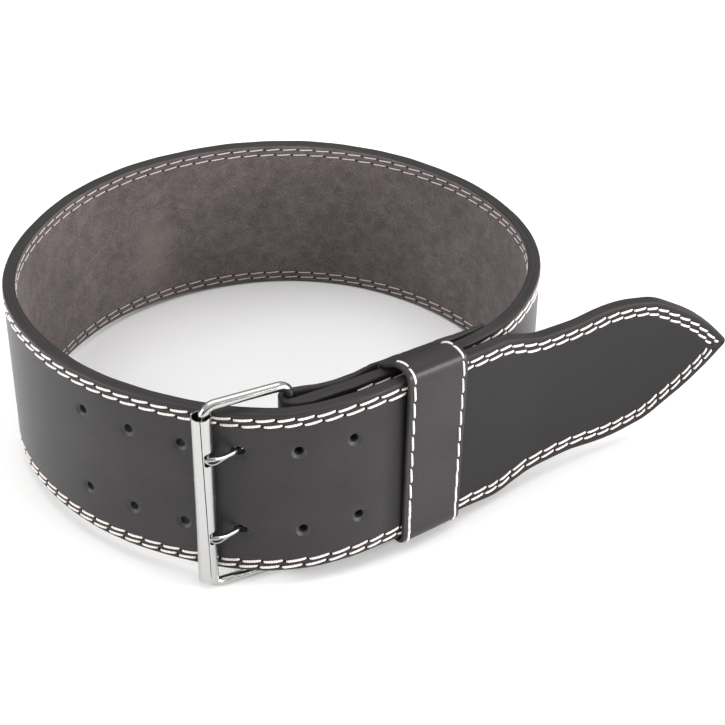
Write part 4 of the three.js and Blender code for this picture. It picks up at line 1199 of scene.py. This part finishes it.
def prong_mesh(name, z):
    """wire prong: eye round the heel bar, up through the hole, flattened leaf and tip on the roller"""
    eye = WIRE_D / 2 + GAP + 1.5
    pts = []
    for a in range(-165, 109, 13):
        xy = at_fold(math.cos(rad(a)) * eye, math.sin(rad(a)) * eye)
        pts.append((*xy, z))
    route = [(-11, -8.0), (-4, -7.2), (3, -6.2), (7.6, -5.0), (10.2, -2.9), (11.5, 0), (12.7, 3.3), (14.8, 6.3),
             (16.8, 9.2), (18.8, 11.9), (20.4, 13.2), (22.4, 13.7), (24.2, 14.3)]
    for s, out in route:
        x, y, nx, ny = station(s)
        pts.append((float(x + nx * out), float(y + ny * out), z + max(0, out - 4) * 0.03))
    n_eye = len(pts) - len(route)
    counts = [2] * (n_eye - 1) + [3] + [4] * (len(route) - 1)
    C = catmull(pts, counts)
    length = np.concatenate([[0], np.cumsum(np.linalg.norm(np.diff(C, axis=0), axis=1))])
    L = length[-1]
    back = L - length                          # distance from the tip
    T = unit(np.gradient(C, axis=0))
    up = np.array([0, 0, 1.0])
    side = unit(np.cross(T, up))               # across the wire, in plan
    vert = np.cross(side, T)
    # half height (along the belt's width) and half thickness of the wire, by distance from the tip
    hh = np.interp(back, [0, 0.7, 1.8, 3.6, 6.0, 8.5, 11, 14], [0.35, 1.00, 1.80, 2.40, 2.35, 1.85, 1.48, 1.42])
    tt = np.interp(back, [0, 0.7, 1.8, 3.6, 6.0, 8.5, 11, 14], [0.30, 0.75, 1.0, 1.1, 1.15, 1.22, 1.30, 1.30])
    groove = np.interp(back, [0, 1.4, 2.6, 4.5, 6.5, 8.6, 10], [0, 0.10, 0.70, 0.90, 0.80, 0.25, 0])
    sides = 32
    th = np.arange(sides) / sides * 2 * math.pi
    # which way is outwards from the belt at each point
    mid = np.array([ROLLER["x"], ROLLER["y"], 0])
    s_end = station(20.0)
    outward_dir = np.array([float(s_end[2]), float(s_end[3]), 0])
    sgn = np.sign((side @ outward_dir)); sgn[sgn == 0] = 1
    last = sgn[-1]
    side = side * last
    vert = np.cross(side, T) * 1.0
    P, hollow = [], []
    for i in range(len(C)):
        cx = np.cos(th) * tt[i]                 # along side: positive is outwards near the tip
        cz = np.sin(th) * hh[i]
        dent = groove[i] * np.exp(-((cz - 0.15 * hh[i]) / (hh[i] * 0.34)) ** 2) * (np.cos(th) > 0)
        cx = cx - dent
        hollow.append(dent / 0.85)
        P.append(C[i] + side[i] * cx[:, None] + vert[i] * cz[:, None])
    P = np.array(P)
    n = len(C)
    verts = np.vstack([P.reshape(-1, 3), C[0][None], (C[-1] + T[-1] * 0.25)[None]])
    j = np.arange(sides); j2 = (j + 1) % sides
    tris = np.vstack([np.stack([j2, j, np.full(sides, n * sides)], -1),
                      np.stack([(n - 1) * sides + j, (n - 1) * sides + j2, np.full(sides, n * sides + 1)], -1)])
    H2 = np.array(hollow)
    H2 = np.hstack([H2, H2[:, :1]])
    ob = make(name, verts, [grid_faces(n, sides), tris], [NICKEL_PRONG], None,
              {"hollow": [grid_uv(H2, H2), np.zeros((len(tris), 3, 2))]})
    return outward(ob)


# ---------------------------------------------------------------- build it
strap = punch(strap_mesh())
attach(strap, "root"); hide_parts("strap")
for piece in strap_stitches():
    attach(piece, "root")
keeper, keeper_stitches = keeper_mesh()
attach(keeper, "root"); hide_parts("keeper_loop")
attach(keeper_stitches, "root")
wire = frame_mesh()
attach(wire, "root"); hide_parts("buckle_frame")
roller = roller_mesh()
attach(roller, "root"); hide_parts("buckle_roller")
for node, z in (("upper_prong", HOLE_ROWS[0] + 0.2), ("lower_prong", HOLE_ROWS[1] + 0.2)):
    prong = prong_mesh(node + "_wire", z)
    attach(prong, "root"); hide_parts(node)


# ------------------------------------------------------------------ studio
def studio():
    sc = bpy.context.scene
    me = bpy.data.meshes.new("floor")
    q = 6.0
    me.from_pydata([(-q, -q, 0), (q, -q, 0), (q, q, 0), (-q, q, 0)], [], [(0, 1, 2, 3)])
    floor = bpy.data.objects.new("floor", me)
    sc.collection.objects.link(floor)
    t = Tree("pale_floor")
    n = t.noise(t.object_co(), 3.0, 2)
    t.set(Base_Color=t.mix(n, (0.95, 0.95, 0.945), (0.97, 0.97, 0.965)), Roughness=0.9)
    me.materials.append(t.mat)

    world = bpy.data.worlds.new("studio")
    sc.world = world
    world.use_nodes = True
    nt = world.node_tree
    nt.nodes.clear()
    out = nt.nodes.new("ShaderNodeOutputWorld")
    bg = nt.nodes.new("ShaderNodeBackground")
    co = nt.nodes.new("ShaderNodeTexCoord")
    sep = nt.nodes.new("ShaderNodeSeparateXYZ")
    ramp = nt.nodes.new("ShaderNodeValToRGB")
    nt.links.new(co.outputs["Generated"], sep.inputs[0])
    nt.links.new(sep.outputs[2], ramp.inputs[0])
    e = ramp.color_ramp.elements
    e[0].position, e[0].color = 0.0, (0.16, 0.16, 0.165, 1)
    e[1].position, e[1].color = 1.0, (1, 1, 1, 1)
    for p, c in ((0.22, 0.22), (0.34, 0.72), (0.6, 0.95)):
        el = e.new(p); el.color = (c, c, c, 1)
    nt.links.new(ramp.outputs[0], bg.inputs[0])
    bg.inputs[1].default_value = 0.82
    nt.links.new(bg.outputs[0], out.inputs[0])

    def area(name, loc, target, size, power, size_y=None):
        li = bpy.data.lights.new(name, "AREA")
        li.energy = power
        li.shape = "RECTANGLE"
        li.size, li.size_y = size, size_y or size
        ob = bpy.data.objects.new(name, li)
        ob.location = loc
        ob.rotation_euler = (Vector(target) - Vector(loc)).to_track_quat("-Z", "Y").to_euler()
        sc.collection.objects.link(ob)
        return ob
    area("overhead", (-0.1, 0.2, 1.8), (0, 0, 0), 1.8, 17)
    area("left", (-1.35, -0.55, 0.5), (0, 0, 0.05), 0.8, 14.5, 0.7)
    area("right", (1.27, -0.60, 0.45), (0, 0, 0.05), 1.0, 26, 0.6)

    # camera, at the photograph's angle
    th, roll = rad(33.874), rad(0.373)
    right0, fwd, up0 = np.array([1.0, 0, 0]), np.array([0, math.cos(th), -math.sin(th)]), np.array([0, math.sin(th), math.cos(th)])
    right = right0 * math.cos(roll) + up0 * math.sin(roll)
    up = -right0 * math.sin(roll) + up0 * math.cos(roll)
    R = TURN @ np.column_stack([right, up, -fwd])
    cam = bpy.data.cameras.new("camera")
    cam.sensor_fit, cam.sensor_width = "HORIZONTAL", 36
    cam.lens = 1686.8 / 725 * 36
    cam.shift_x, cam.shift_y = 19.0 / 725, -0.8 / 725
    cam.clip_start, cam.clip_end = 0.05, 30
    ob = bpy.data.objects.new("camera", cam)
    m = Matrix(R.tolist()).to_4x4()
    m.translation = Vector(stand([0, -800, 578.8]))
    ob.matrix_world = m
    sc.collection.objects.link(ob)
    sc.camera = ob
    sc.view_settings.view_transform = "Standard"
    sc.view_settings.look = "None"


studio()

bpy.context.view_layer.update()
